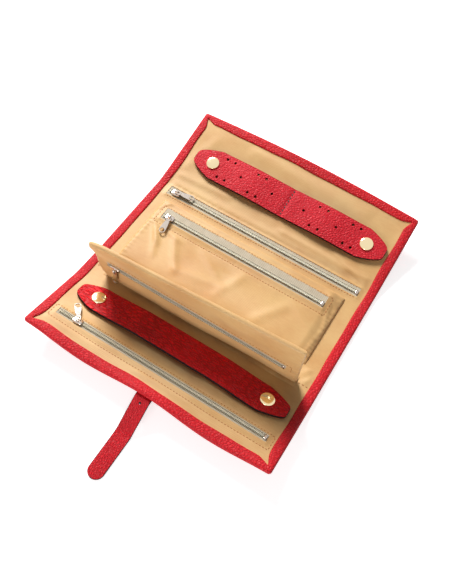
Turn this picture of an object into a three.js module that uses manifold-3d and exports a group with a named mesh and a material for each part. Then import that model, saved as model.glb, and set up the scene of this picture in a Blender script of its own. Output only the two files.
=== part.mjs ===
// A jewelry roll lying open on a table: a leather cover in five hinged sections with a satin lining,
// four zipped pockets, a standing page, a ring bar, an earring strap and a closing strap.
// Millimetres, +Z up. X runs along the zips and +Y from the near edge to the far edge.
// The origin is at the centre of the middle section's underside.
import * as THREE from "three";
import { mergeVertices } from "three/addons/utils/BufferGeometryUtils.js";
import Module from "manifold-3d";

const wasm = await Module();
wasm.setup();

// Cover sections, measured along the cover, and the tilt of each one on the one before it
const coverWidth = 250;
const middleLength = 101.5;
const nearSpineLength = 36;
const farSpineLength = 15;
const farPanelLength = 76;
const hingeGap = 0.5;
const nearSpineTilt = 3.5;
const nearPanelTilt = 10.5;
const farSpineTilt = 12;
const farPanelTilt = 3;

// Layers of a section, from the table up
const leather = 1.2;
const board = 1.0;
const pocketBag = 0.4;
const lining = 0.6;
const turnedEdge = 1.0;
const layerGap = 0.1;
const edgeGap = 0.3;
const borderWidth = 10;
const cutOverrun = 1;

// Zip fasteners
const tapeThickness = 0.6;
const coilWidth = 4.2;
const coilHeight = 1.4;
const zipSlitWidth = 5;
const stopLength = 2.6;
const stopWidth = 5.2;
const stopHeight = 1.9;
const sliderLength = 9;
const sliderWall = 1.1;
const sliderPlate = 0.8;
const sliderClearance = 0.2;
const archLength = 4;
const archWall = 0.8;
const archWidth = 1.4;
const archOpening = 2;
const pullLength = 20;
const pullThickness = 0.9;
const pullRootWidth = 4;
const pullTipWidth = 6.4;
const pullNeckLength = 8;
const pullNeckWidth = 4;
const pullHoleRadius = 1.5;
const pullRestGap = 0.16;

// Near panel: from its hinge, the ring bar, the reach of the zip's pull, and the zip
const nearZipInset = 26.3;
const nearZipSideGap = 17;
const nearTapeWidth = 10;
const nearSliderInset = 22;
const nearPullTurn = 130;
const ringBarHingeGap = 1;
const ringBarPullGap = 0.63;
const ringBarX = 1.5;
const ringBarSideGap = 15;
const ringBarWidth = 29;
const ringBarFold = 40;
const ringBarCapInset = 21;
const ringBarFoldFromCap = 9.5;

// Leather straps and their snap fasteners
const strapThickness = 2.4;
const strapStandoff = 1.2;
const strapNoseWidth = 11;
const strapTaper = 24;
const strapShoulder = 5;
const strapShoulderShare = 0.68;
const capRadius = 6.75;
const capHeight = 2.2;
const capRim = 0.6;
const studRadius = 4;

// Earring strap on the far panel, placed from the panel's hinge
const earStrapPlace = 26.8;
const earStrapX = 3;
const earStrapSideGap = 15.5;
const earCapInset = 20.5;
const earStrapWidth = 34;
const earCentreWidth = 12;
const earHoleRadius = 1;
const earHoleRise = 11.3;
// Places of the holes, as shares of the way from the strap's middle to its snap
const earPairShares = [0.348, 0.455, 0.767, 0.868];
const earSingleShares = [0.206, 0.618];

// Standing page
const pageSideGap = 22;
const pageLength = 65;
const pageSheet = 1.5;
const pageBoard = 1.2;
const pageLayerGap = 0.2;
const pageLean = 12.5;
const pageSeam = 18;
const hemWidth = 12;
const hemThickness = 0.8;
const hemRidge = 1;
const pageZipPlace = 26;
const pageZipSideGap = 12;
const pageTapeWidth = 10;
const pageSliderInset = 6;
const pagePullTurn = -90;

// Pouch on the middle section
const pouchLeftGap = 19.5;
const pouchRightGap = 23;
const pouchStart = 1.3;
const pouchFarGap = 6.9;
const pouchBack = 1.5;
const pouchFront = 3.2;
const pouchThinEdge = 0.5;
const pouchRamp = 18;
const pouchEdgeFlat = 0.2;
const pouchZipInset = 20;
const pouchZipLeftGap = 10.5;
const pouchZipRightGap = 14;
const pouchTapeWidth = 15;
const pouchSliderInset = 9.2;
const pouchPullTurn = -84;

// Zip at the far side of the middle section
const baseZipInset = 6.6;
const baseZipSideGap = 15.5;
const baseTapeWidth = 11.4;
const baseSliderInset = 9.5;
const basePullTurn = 8;

// Closing strap
const strapWidth = 15;
const closingThickness = 2.2;
const closingX = 3;
const anchorLength = 30;
const innerLength = 33;
const outerLength = 44;
const strapHoleRadius = 0.9;
const strapHolePlace = 5;
const strapHolePitch = 14;
const floorClearance = 0.1;
const magnetRadius = 5;
const magnetThickness = 1.1;
const magnetInset = 11;
const catchRadius = 5.5;
const catchThickness = 1;

const arcSteps = 5;
const lathePoints = 24;
const degrees = THREE.MathUtils.degToRad;

// Heights are measured in each section from its hinge line, which is level with the top of the turned edge
const boardBottom = leather + layerGap;
const bagBottom = boardBottom + board + layerGap;
const liningBottom = bagBottom + pocketBag + layerGap;
const spinePadding = liningBottom - boardBottom;
const coverThickness = liningBottom + lining + layerGap + turnedEdge;
const underside = -coverThickness;
const liningTop = -turnedEdge - layerGap;
const halfWidth = coverWidth / 2;
const borderInside = halfWidth - borderWidth;
const pageThickness = 2 * pageSheet + pageBoard + 2 * pageLayerGap;
const pageHingeHeight = liningTop + layerGap + hemThickness + pageThickness / 2;
const sliderTop = coilHeight + sliderClearance + sliderPlate;
const pullDrop = (archOpening - pullThickness) / 2 - pullRestGap;
const pullDroop = THREE.MathUtils.radToDeg(Math.asin(pullDrop / (sliderLength / 2)));

// What lies on the cover takes its length from the cover's width and its own gap at the sides
const nearZipLength = coverWidth - 2 * nearZipSideGap;
const ringBarLength = coverWidth - 2 * ringBarSideGap;
const pullTip = pullTipWidth / 2;
const pullReach = pullTip + (pullLength - pullTip) * Math.sin(degrees(nearPullTurn));
const ringBarPlace = ringBarHingeGap + ringBarWidth / 2;
const nearZipPlace = ringBarPlace + ringBarWidth / 2 + ringBarPullGap + pullReach;
const nearPanelLength = nearZipPlace + nearZipInset;
const ringBarSnaps = ringBarLength / 2 - ringBarCapInset;
const ringBarFoldX = ringBarX - ringBarSnaps + ringBarFoldFromCap;
const earStrapLength = coverWidth - 2 * earStrapSideGap;
const earSnaps = earStrapLength / 2 - earCapInset;
const pageWidth = coverWidth - 2 * pageSideGap;
const pageZipLength = pageWidth - 2 * pageZipSideGap;
const baseZipLength = coverWidth - 2 * baseZipSideGap;
const pouchLeft = pouchLeftGap - halfWidth;
const pouchRight = halfWidth - pouchRightGap;
const pouchLength = middleLength - pouchStart - pouchFarGap - baseZipInset - baseTapeWidth / 2;
const pouchZipPlace = pouchLength - pouchZipInset;
const pouchZipLength = pouchRight - pouchLeft - pouchZipLeftGap - pouchZipRightGap;
const pouchZipX = pouchLeft + pouchZipLeftGap + pouchZipLength / 2;
const pouchRound = pouchFront - pouchEdgeFlat;

const negative = ([from, to]) => [-to, -from];

const colours = {
  leather: [0x9a1519, 0.55, 0],
  satin: [0xb98f50, 0.4, 0],
  backing: [0x8d8478, 0.9, 0],
  tape: [0x9c9184, 0.85, 0],
  coil: [0x6a6157, 0.6, 0],
  steel: [0xb9b7b2, 0.3, 1],
  gold: [0xd8b25e, 0.25, 1],
};
const materials = Object.fromEntries(
  Object.entries(colours).map(([name, [color, roughness, metalness]]) => [
    name,
    new THREE.MeshStandardMaterial({ color, roughness, metalness }),
  ]),
);

function piece(name, geometry, material, at = [0, 0, 0]) {
  const mesh = new THREE.Mesh(geometry, materials[material]);
  mesh.name = name;
  mesh.position.set(...at);
  return mesh;
}

function group(at, tilt, ...children) {
  const made = new THREE.Group();
  made.position.set(...at);
  made.rotation.x = degrees(tilt);
  return children.length ? made.add(...children) : made;
}

// A box between limits along X, Y and Z.
function slab([x0, x1], [y0, y1], [z0, z1]) {
  return new THREE.BoxGeometry(x1 - x0, y1 - y0, z1 - z0).translate(
    (x0 + x1) / 2,
    (y0 + y1) / 2,
    (z0 + z1) / 2,
  );
}

// A flat outline in X and Y, raised from bottom by thickness.
function plate(outline, bottom, thickness) {
  return new THREE.ExtrudeGeometry(outline, {
    depth: thickness,
    bevelEnabled: false,
    curveSegments: arcSteps,
  }).translate(0, 0, bottom);
}

// An outline in Y and Z, run along X between two limits.
function run(outline, [x0, x1]) {
  return new THREE.ExtrudeGeometry(outline, {
    depth: x1 - x0,
    bevelEnabled: false,
    curveSegments: arcSteps,
  })
    .rotateZ(Math.PI / 2)
    .rotateY(Math.PI / 2)
    .translate(x0, 0, 0);
}

function solid(geometry) {
  const bare = new THREE.BufferGeometry();
  bare.setAttribute("position", geometry.getAttribute("position"));
  if (geometry.index) bare.setIndex(geometry.index);
  const merged = mergeVertices(bare, 1e-4);
  return new wasm.Manifold(
    new wasm.Mesh({
      numProp: 3,
      vertProperties: merged.attributes.position.array,
      triVerts: new Uint32Array(merged.index.array),
    }),
  );
}

function geometryOf(manifold) {
  const { vertProperties, triVerts } = manifold.getMesh();
  const geometry = new THREE.BufferGeometry();
  geometry.setAttribute("position", new THREE.BufferAttribute(new Float32Array(vertProperties), 3));
  geometry.setIndex(new THREE.BufferAttribute(new Uint32Array(triVerts), 1));
  return geometry;
}

function cut(body, ...tools) {
  return geometryOf(tools.reduce((left, tool) => left.subtract(solid(tool)), solid(body)));
}

function join(body, ...others) {
  return geometryOf(others.reduce((left, other) => left.add(solid(other)), solid(body)));
}

// The limits along Y of what lies inside a section's leather: short of the wall at a turned end.
function insideLimits([y0, y1], turned, inset) {
  return [y0 + (turned === "near" ? inset : 0), y1 - (turned === "far" ? inset : 0)];
}

// Leather wrapped round a section's layers, with its edges turned in over the lining.
function turnedLeather(limits, turned) {
  const stretched = [
    limits[0] - (turned === "near" ? 0 : cutOverrun),
    limits[1] + (turned === "far" ? 0 : cutOverrun),
  ];
  const cavity = insideLimits(stretched, turned, leather);
  const window = insideLimits(stretched, turned, borderWidth);
  return cut(
    slab([-halfWidth, halfWidth], limits, [underside, 0]),
    slab([leather - halfWidth, halfWidth - leather], cavity, [underside + leather, -turnedEdge]),
    slab([-borderInside, borderInside], window, [-turnedEdge - layerGap, cutOverrun]),
  );
}

// One layer inside a section's leather. Heights are measured from the section's underside.
function layer(limits, turned, bottom, thickness, slit) {
  const side = halfWidth - leather - edgeGap;
  const box = slab([-side, side], insideLimits(limits, turned, leather + edgeGap), [
    underside + bottom,
    underside + bottom + thickness,
  ]);
  if (!slit) return box;
  const through = [underside + bottom - cutOverrun, underside + bottom + thickness + cutOverrun];
  return cut(box, zipSlit(slit, through));
}

function zipSlit({ x = 0, y, length }, heights) {
  return slab([x - length / 2, x + length / 2], [y - zipSlitWidth / 2, y + zipSlitWidth / 2], heights);
}

// A slider's body: a channel over the coil, with an arch on top that runs the way its pull points.
function sliderBody(pullTurn) {
  const inside = coilWidth / 2 + sliderClearance;
  const outside = inside + sliderWall;
  const body = cut(
    slab([-sliderLength / 2, sliderLength / 2], [-outside, outside], [sliderClearance, sliderTop]),
    slab([-sliderLength, sliderLength], [-inside, inside], [-cutOverrun, coilHeight + sliderClearance]),
  );
  const opening = [sliderTop, sliderTop + archOpening];
  const legs = [archWall - archLength / 2, archLength / 2 - archWall];
  const archHeights = [sliderTop, opening[1] + archWall];
  const arch = cut(
    slab([-archLength / 2, archLength / 2], [-archWidth / 2, archWidth / 2], archHeights),
    slab(legs, [-archWidth, archWidth], opening),
  );
  return join(body, arch.rotateZ(degrees(pullTurn)));
}

// A pull pointing along +X from its cross bar at the origin, with a window round the arch and a round hole.
function pullTab() {
  const bar = pullThickness / 2;
  const windowEnd = archLength / 2 + archOpening / 2;
  const root = pullRootWidth / 2;
  const neck = pullNeckWidth / 2;
  const tip = pullTipWidth / 2;
  const outline = new THREE.Shape();
  outline.moveTo(-bar, -root);
  outline.lineTo(windowEnd, -root);
  outline.lineTo(pullNeckLength, -neck);
  outline.lineTo(pullLength - tip, -tip);
  outline.absarc(pullLength - tip, 0, tip, -Math.PI / 2, Math.PI / 2);
  outline.lineTo(pullNeckLength, neck);
  outline.lineTo(windowEnd, root);
  outline.lineTo(-bar, root);
  const side = archWidth / 2 + edgeGap;
  const window = new THREE.Path();
  window.moveTo(bar, -side);
  window.lineTo(bar, side);
  window.lineTo(windowEnd, side);
  window.lineTo(windowEnd, -side);
  const hole = new THREE.Path();
  hole.absarc(pullLength - tip, 0, pullHoleRadius, 0, 2 * Math.PI, true);
  outline.holes.push(window, hole);
  return plate(outline, -bar, pullThickness);
}

// A zip centred on its own origin, on a surface at height 0. The pull turns about the arch's opening.
// sliderInset is the slider's place from the end at -X, turn the way the pull points about Z, and droop
// how far its tip is below level.
function zip(name, { length, tapeWidth, sliderInset, turn, droop = pullDroop }) {
  const coilEnd = length / 2 - stopLength - 2 * edgeGap;
  const tapeTop = layerGap + tapeThickness;
  const half = length / 2;
  const pull = group([0, 0, sliderTop + archOpening / 2], 0);
  pull.rotation.set(0, degrees(droop), degrees(turn), "ZYX");
  pull.add(piece(name + "_zip_pull", pullTab(), "steel"));
  const body = piece(name + "_zip_slider", sliderBody(turn), "steel");
  const slider = group([sliderInset - half, 0, tapeTop + layerGap], 0, body, pull);
  const tape = slab([-half, half], [-tapeWidth / 2, tapeWidth / 2], [layerGap, tapeTop]);
  return [
    piece(name + "_zip_tape", tape, "tape"),
    piece(
      name + "_zip_coil",
      slab([-half, coilEnd], [-coilWidth / 2, coilWidth / 2], [tapeTop + layerGap, tapeTop + coilHeight]),
      "coil",
    ),
    piece(
      name + "_zip_stop",
      slab([coilEnd + edgeGap, coilEnd + edgeGap + stopLength], [-stopWidth / 2, stopWidth / 2], [
        tapeTop + layerGap,
        tapeTop + stopHeight,
      ]),
      "steel",
    ),
    slider,
  ];
}

// Half of a strap with a tapered end and a blunt nose: from a fold line at X = foldX to its end at +X.
// foldTurn turns the fold line from square, and holes are round holes at [x, y].
function strapEnd({ foldX, foldTurn = 0, endX, width, holes = [] }) {
  const lean = Math.tan(degrees(foldTurn)) * (width / 2);
  const outline = new THREE.Shape();
  outline.moveTo(foldX + lean, -width / 2);
  const taper = Math.min(strapTaper, endX - foldX - Math.abs(lean) - edgeGap);
  outline.lineTo(endX - taper, -width / 2);
  const shoulder = (strapShoulderShare * width) / 2;
  outline.quadraticCurveTo(endX - strapShoulder, -shoulder, endX, -strapNoseWidth / 2);
  outline.lineTo(endX, strapNoseWidth / 2);
  outline.quadraticCurveTo(endX - strapShoulder, shoulder, endX - taper, width / 2);
  outline.lineTo(foldX - lean, width / 2);
  for (const [x, y] of holes) {
    const hole = new THREE.Path();
    hole.absarc(x, y, earHoleRadius, 0, 2 * Math.PI, true);
    outline.holes.push(hole);
  }
  return outline;
}

// The same half strap, turned to end at -X.
const turnedRound = (geometry) => geometry.rotateZ(Math.PI);

function snapCap() {
  const points = [
    new THREE.Vector2(0, 0),
    new THREE.Vector2(capRadius, 0),
    new THREE.Vector2(capRadius, capRim),
  ];
  for (let i = 1; i <= arcSteps; i++) {
    const angle = (i / arcSteps) * (Math.PI / 2);
    const out = i === arcSteps ? 0 : capRadius * Math.cos(angle);
    points.push(new THREE.Vector2(out, capRim + (capHeight - capRim) * Math.sin(angle)));
  }
  return new THREE.LatheGeometry(points, lathePoints).rotateX(Math.PI / 2);
}

function disc(radius, thickness) {
  return new THREE.CylinderGeometry(radius, radius, thickness, lathePoints)
    .rotateX(Math.PI / 2)
    .translate(0, 0, thickness / 2);
}

const strapBottom = liningTop + strapStandoff;
const strapTop = strapBottom + strapThickness;
const capBottom = strapTop + layerGap;

// A snap's stud stands on the lining, under its cap.
function snapStud(name, x, y) {
  return piece(name, disc(studRadius, strapStandoff - 2 * layerGap), "gold", [x, y, liningTop + layerGap]);
}

function middleSection() {
  const limits = [-(middleLength - hingeGap) / 2, (middleLength - hingeGap) / 2];
  const zipY = middleLength / 2 - baseZipInset;
  const slit = { y: zipY, length: baseZipLength - 2 * stopLength };
  return [
    piece("middle_leather", turnedLeather(limits), "leather"),
    piece("middle_board", layer(limits, "", boardBottom, board), "backing"),
    piece("middle_pocket_bag", layer(limits, "", bagBottom, pocketBag), "backing"),
    piece("middle_lining", layer(limits, "", liningBottom, lining, slit), "satin"),
    group([0, zipY, liningTop], 0, ...zip("base", {
      length: baseZipLength,
      tapeWidth: baseTapeWidth,
      sliderInset: baseSliderInset,
      turn: basePullTurn,
      droop: pullDroop / 2,
    })),
    ...pouch(-middleLength / 2 + pouchStart),
  ];
}

// A flat zipped pouch sewn to the middle section: thin at the seam side, rounded at the far side.
function pouch(start) {
  const end = start + pouchLength;
  const backTop = liningTop + layerGap + pouchBack;
  const frontBottom = backTop + layerGap;
  const frontTop = frontBottom + pouchFront;
  const outline = new THREE.Shape();
  outline.moveTo(start, frontBottom);
  outline.lineTo(end, frontBottom);
  outline.lineTo(end, frontTop - pouchRound);
  outline.quadraticCurveTo(end, frontTop, end - pouchRound, frontTop);
  outline.lineTo(start + pouchRamp, frontTop);
  outline.quadraticCurveTo(start + pouchRamp / 2, frontTop, start, frontBottom + pouchThinEdge);
  const slit = { x: pouchZipX, y: start + pouchZipPlace, length: pouchZipLength - 2 * stopLength };
  const sides = [pouchLeft, pouchRight];
  const front = cut(run(outline, sides), zipSlit(slit, [frontTop - pouchFront / 2, frontTop + cutOverrun]));
  return [
    piece("pouch_back", slab(sides, [start, end], [liningTop + layerGap, backTop]), "satin"),
    piece("pouch_front", front, "satin"),
    group([pouchZipX, start + pouchZipPlace, frontTop], 0, ...zip("pouch", {
      length: pouchZipLength,
      tapeWidth: pouchTapeWidth,
      sliderInset: pouchSliderInset,
      turn: pouchPullTurn,
    })),
  ];
}

// A narrow section between two panels: leather, and a padded lining.
function spine(name, limits, recess) {
  const bottom = liningBottom - spinePadding;
  const padded = layer(limits, "", bottom, lining + spinePadding);
  return [
    piece(name + "_leather", turnedLeather(limits), "leather"),
    piece(name + "_lining", recess ? cut(padded, recess) : padded, "satin"),
  ];
}

function nearSpine() {
  const limits = negative([hingeGap / 2, nearSpineLength - hingeGap / 2]);
  return group([0, -middleLength / 2, 0], -nearSpineTilt,
    ...spine("near_spine", limits),
    piece("page_hem", pageHem(), "satin", [0, -pageSeam, pageHingeHeight]),
    page(),
    nearPanel(),
  );
}

// The hem that holds the page: a strip sewn along the seam, with a ridge up to the page's fold line.
function pageHem() {
  const stripTop = -pageThickness / 2;
  const outline = new THREE.Shape();
  outline.moveTo(-hemWidth / 2, stripTop - hemThickness);
  outline.lineTo(hemWidth / 2, stripTop - hemThickness);
  outline.lineTo(hemWidth / 2, stripTop);
  outline.lineTo(hemRidge, stripTop);
  outline.absarc(0, 0, hemRidge, 0, Math.PI);
  outline.lineTo(-hemRidge, stripTop);
  outline.lineTo(-hemWidth / 2, stripTop);
  return run(outline, [-pageWidth / 2, pageWidth / 2]);
}

// The standing page: a front sheet folded over the top of a board and a back sheet, and a zip on its near
// face.
function page() {
  const half = pageThickness / 2;
  const foot = hemRidge + edgeGap;
  const fold = pageLength - half;
  const inner = fold - pageLayerGap;
  const sides = [-pageWidth / 2, pageWidth / 2];
  const boardNear = -half + pageSheet + pageLayerGap;
  const backNear = boardNear + pageBoard + pageLayerGap;
  const front = new THREE.Shape();
  front.moveTo(-half, foot);
  front.lineTo(-half + pageSheet, foot);
  front.lineTo(-half + pageSheet, fold);
  front.lineTo(half, fold);
  front.absarc(0, fold, half, 0, Math.PI);
  const slit = slab(
    [-pageZipLength / 2 + stopLength, pageZipLength / 2 - stopLength],
    [-half - cutOverrun, -half + pageSheet / 2],
    [pageZipPlace - zipSlitWidth / 2, pageZipPlace + zipSlitWidth / 2],
  );
  const zipFace = group([0, -half, pageZipPlace], 90, ...zip("page", {
    length: pageZipLength,
    tapeWidth: pageTapeWidth,
    sliderInset: pageSliderInset,
    turn: pagePullTurn,
    droop: nearSpineTilt - pageLean,
  }));
  return group([0, -pageSeam, pageHingeHeight], pageLean,
    piece("page_front", cut(run(front, sides), slit), "satin"),
    piece("page_board", slab(sides, [boardNear, boardNear + pageBoard], [foot, inner]), "backing"),
    piece("page_back", slab(sides, [backNear, half], [foot, inner]), "satin"),
    zipFace,
  );
}

function nearPanel() {
  const limits = negative([hingeGap / 2, nearPanelLength]);
  const slit = { y: -nearZipPlace, length: nearZipLength - 2 * stopLength };
  return group([0, -nearSpineLength, 0], -nearPanelTilt,
    piece("near_leather", turnedLeather(limits, "near"), "leather"),
    piece("near_board", layer(limits, "near", boardBottom, board), "backing"),
    piece("near_pocket_bag", layer(limits, "near", bagBottom, pocketBag), "backing"),
    piece("near_lining", layer(limits, "near", liningBottom, lining, slit), "satin"),
    group([0, -nearZipPlace, liningTop], 0, ...zip("near", {
      length: nearZipLength,
      tapeWidth: nearTapeWidth,
      sliderInset: nearSliderInset,
      turn: nearPullTurn,
    })),
    ...ringBar(),
    ...closingStrap(),
  );
}

// The ring bar: its left end stays snapped down, and the rest folds up along a slanting crease.
function ringBar() {
  const y = -ringBarPlace;
  const left = ringBarX - ringBarSnaps;
  const right = ringBarX + ringBarSnaps;
  const bar = strapEnd({
    foldX: ringBarFoldX + hingeGap / 2,
    foldTurn: ringBarFold,
    endX: ringBarX + ringBarLength / 2,
    width: ringBarWidth,
  });
  const end = strapEnd({
    foldX: -ringBarFoldX + hingeGap / 2,
    foldTurn: ringBarFold,
    endX: ringBarLength / 2 - ringBarX,
    width: ringBarWidth,
  });
  return [
    snapStud("ring_bar_left_stud", left, y),
    snapStud("ring_bar_right_stud", right, y),
    piece("ring_bar_end", turnedRound(plate(end, strapBottom, strapThickness)), "leather", [0, y, 0]),
    piece("ring_bar_left_cap", snapCap(), "gold", [left, y, capBottom]),
    piece("ring_bar", plate(bar, strapBottom, strapThickness), "leather", [0, y, 0]),
    piece("ring_bar_right_cap", snapCap(), "gold", [right, y, capBottom]),
  ];
}

// The closing strap: sewn under the near panel, it bends down at the edge and lies along the table.
function closingStrap() {
  const half = strapWidth / 2;
  const inner = underside - layerGap;
  const outer = inner - closingThickness;
  const edge = nearPanelLength + 2 * hingeGap;
  const sine = Math.sin(degrees(nearSpineTilt + nearPanelTilt));
  const cosine = Math.cos(degrees(nearSpineTilt + nearPanelTilt));
  const spineRise = nearSpineLength * Math.sin(degrees(nearSpineTilt));
  const drop = coverThickness + spineRise + edge * sine + outer * cosine - closingThickness - floorClearance;
  const reach = Math.hypot(innerLength, closingThickness);
  const slope = Math.asin(drop / reach) + Math.atan(closingThickness / innerLength);
  const bend = THREE.MathUtils.radToDeg(slope);
  const tip = new THREE.Shape();
  tip.moveTo(-half, -hingeGap);
  tip.lineTo(-half, half - outerLength);
  tip.absarc(0, half - outerLength, half, Math.PI, 2 * Math.PI);
  tip.lineTo(half, -hingeGap);
  const holed = new THREE.Shape();
  holed.moveTo(-half, -hingeGap);
  holed.lineTo(-half, -innerLength);
  holed.lineTo(half, -innerLength);
  holed.lineTo(half, -hingeGap);
  for (const place of [strapHolePlace, strapHolePlace + strapHolePitch]) {
    const hole = new THREE.Path();
    hole.absarc(0, -place, strapHoleRadius, 0, 2 * Math.PI, true);
    holed.holes.push(hole);
  }
  const magnetAt = [0, magnetInset - outerLength, -closingThickness];
  const recess = disc(magnetRadius + edgeGap, magnetThickness + layerGap + cutOverrun).translate(
    magnetAt[0],
    magnetAt[1],
    magnetAt[2] - cutOverrun,
  );
  const outerPart = group([0, -innerLength, closingThickness], -bend,
    piece("strap_outer", cut(plate(tip, -closingThickness, closingThickness), recess), "leather"),
    piece("strap_magnet", disc(magnetRadius, magnetThickness), "steel", magnetAt),
  );
  const innerPart = group([closingX, -edge, outer], nearSpineTilt + nearPanelTilt + bend,
    piece("strap_inner", plate(holed, 0, closingThickness), "leather"),
    outerPart,
  );
  const anchor = slab([-half, half], negative([edge - anchorLength, edge - hingeGap]), [outer, inner]);
  return [piece("strap_anchor", anchor, "leather", [closingX, 0, 0]), innerPart];
}

function farSpine() {
  const limits = [hingeGap / 2, farSpineLength - hingeGap / 2];
  const catchAt = [closingX, farSpineLength / 2, underside + boardBottom];
  const paddingBottom = underside + liningBottom - spinePadding;
  const recess = slab(
    [closingX - catchRadius - edgeGap, closingX + catchRadius + edgeGap],
    [farSpineLength / 2 - catchRadius - edgeGap, farSpineLength / 2 + catchRadius + edgeGap],
    [paddingBottom - cutOverrun, catchAt[2] + catchThickness + layerGap],
  );
  return group([0, middleLength / 2, 0], farSpineTilt,
    ...spine("far_spine", limits, recess),
    piece("catch_plate", disc(catchRadius, catchThickness), "steel", catchAt),
    farPanel(),
  );
}

function farPanel() {
  const limits = [hingeGap / 2, farPanelLength];
  return group([0, farSpineLength, 0], farPanelTilt,
    piece("far_leather", turnedLeather(limits, "far"), "leather"),
    piece("far_board", layer(limits, "far", boardBottom, board + layerGap + pocketBag), "backing"),
    piece("far_lining", layer(limits, "far", liningBottom, lining), "satin"),
    ...earringStrap(),
  );
}

// The earring strap: sewn down along its middle, each half with pairs of holes and a snap at its end.
function earringStrap() {
  const centre = earCentreWidth / 2;
  const along = (x) => [earStrapX + x, earStrapPlace];
  const holes = earSingleShares.map((share) => [share * earSnaps, 0]);
  for (const share of earPairShares)
    for (const side of [-1, 1]) holes.push([share * earSnaps, side * earHoleRise]);
  const outline = strapEnd({
    foldX: centre + hingeGap / 2,
    endX: earStrapLength / 2,
    width: earStrapWidth,
    holes,
  });
  const half = () => plate(outline, strapBottom, strapThickness);
  const middle = slab(
    [-centre + hingeGap / 2, centre - hingeGap / 2],
    [-earStrapWidth / 2, earStrapWidth / 2],
    [liningTop + layerGap, strapTop],
  );
  return [
    piece("earring_strap_centre", middle, "leather", [...along(0), 0]),
    piece("earring_strap_left", turnedRound(half()), "leather", [...along(0), 0]),
    piece("earring_strap_right", half(), "leather", [...along(0), 0]),
    piece("earring_left_cap", snapCap(), "gold", [...along(-earSnaps), capBottom]),
    piece("earring_right_cap", snapCap(), "gold", [...along(earSnaps), capBottom]),
    snapStud("earring_left_stud", ...along(-earSnaps)),
    snapStud("earring_right_stud", ...along(earSnaps)),
  ];
}

const roll = new THREE.Group();
roll.add(group([0, 0, coverThickness], 0, ...middleSection(), nearSpine(), farSpine()));

export default roll;
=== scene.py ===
"""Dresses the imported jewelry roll: pebbled leather, satin lining, zips, snap caps and stitching.
Sizes are in millimetres until a mesh is made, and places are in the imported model's own frame."""

import math

import bpy
import numpy as np
from mathutils import Matrix, Vector


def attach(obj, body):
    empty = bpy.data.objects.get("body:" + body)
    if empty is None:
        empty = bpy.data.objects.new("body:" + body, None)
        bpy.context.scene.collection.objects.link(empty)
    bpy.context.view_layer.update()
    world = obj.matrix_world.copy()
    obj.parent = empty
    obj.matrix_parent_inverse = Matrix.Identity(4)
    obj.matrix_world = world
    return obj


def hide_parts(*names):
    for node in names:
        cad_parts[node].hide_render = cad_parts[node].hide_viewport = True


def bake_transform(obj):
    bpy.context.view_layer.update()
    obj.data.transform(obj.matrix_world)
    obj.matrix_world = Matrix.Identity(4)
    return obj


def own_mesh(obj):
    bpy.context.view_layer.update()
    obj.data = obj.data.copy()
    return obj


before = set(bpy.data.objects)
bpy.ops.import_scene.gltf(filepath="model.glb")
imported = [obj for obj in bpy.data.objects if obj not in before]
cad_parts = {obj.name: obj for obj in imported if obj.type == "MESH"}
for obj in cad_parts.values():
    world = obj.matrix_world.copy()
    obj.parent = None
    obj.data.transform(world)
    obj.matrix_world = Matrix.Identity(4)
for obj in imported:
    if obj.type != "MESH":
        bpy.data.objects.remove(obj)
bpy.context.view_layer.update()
bpy.context.scene.view_settings.view_transform = "Standard"

# The leather cover
# One hide of pebbled cowhide, dyed red, wrapped over stiff boards. Its edges are skived and turned in
# over the lining as a border, mitred at the corners. It bends softly at four lines, where no board lies.
MM = 0.001
cover_half_width = 125.0
cover_length = 301.5
cover_thickness = 4.6
leather_wall = 1.2
border_width = 9.3
border_rim = 1.9
border_puff, border_tuck = 0.3, 0.7
mitre_pull, edge_wander = 3.6, 0.55
corner_round = 3.0
fold_places = [73.0, 109.0, 210.5, 225.5]
section_slopes = [-14.0, -3.5, 0.0, 12.0, 15.0]
fold_softness = 5.0
near_sag, near_swell = 4.5, 2.2
far_rise, far_swell = 3.0, 2.0
near_reach, far_reach = 24.0, 32.0
wave_length = 128.0
middle_place = 159.75
leather_red = "#CD1B25"
# leather_deep colours the creases of the cover's grain, as painted shade, and its darker random patches.
leather_deep = "#9A0D16"


def smooth(t):
    """Smoothstep: 0 below 0, 1 above 1, and 3t^2 - 2t^3 between."""
    t = np.clip(t, 0, 1)
    return t * t * (3 - 2 * t)


def bell(t):
    """A bell curve, exp(-t^2), for a soft fold or a bulge."""
    return np.exp(-np.square(t))


def soft_noise(u, v, wavelength, seed):
    """A sum of seven sine waves in seeded directions, about one wavelength long, scaled to about -1..1."""
    dice = np.random.default_rng(seed)
    total = np.zeros(np.broadcast(u, v).shape)
    for turn, phase, stretch in dice.random((7, 3)):
        angle = turn * 2 * math.pi
        step = 2 * math.pi / (wavelength * (0.7 + 0.7 * stretch))
        total = total + np.sin((u * math.cos(angle) + v * math.sin(angle)) * step + phase * 6.283)
    return total / 4.2


path_places = np.linspace(-20, cover_length + 20, 6000)
path_slopes = np.full(path_places.shape, section_slopes[0])
for fold, before, after in zip(fold_places, section_slopes, section_slopes[1:]):
    path_slopes += (after - before) * smooth((path_places - fold) / (2 * fold_softness) + 0.5)
path_slopes = np.radians(path_slopes)
path_step = path_places[1] - path_places[0]
path_y = np.cumsum(np.cos(path_slopes)) * path_step
path_z = np.cumsum(np.sin(path_slopes)) * path_step
path_y -= np.interp(middle_place, path_places, path_y)
path_z += cover_thickness - np.interp(middle_place, path_places, path_z)


def slump(x, s):
    """How far the open cover slumps from its flat sections: the near edge sinks and swells out in two
    shallow waves either side of its strap, and the far edge lifts a little along its middle."""
    wave = np.sin(math.pi * (x + cover_half_width) / wave_length) ** 2
    near = wave * np.clip(1 - s / near_reach, 0, 1) ** 1.3
    across = np.sin(math.pi * (x + cover_half_width) / (2 * cover_half_width))
    far = across * np.clip(1 - (cover_length - s) / far_reach, 0, 1) ** 1.4
    return far_swell * far - near_swell * near, far_rise * far - near_sag * near


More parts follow.
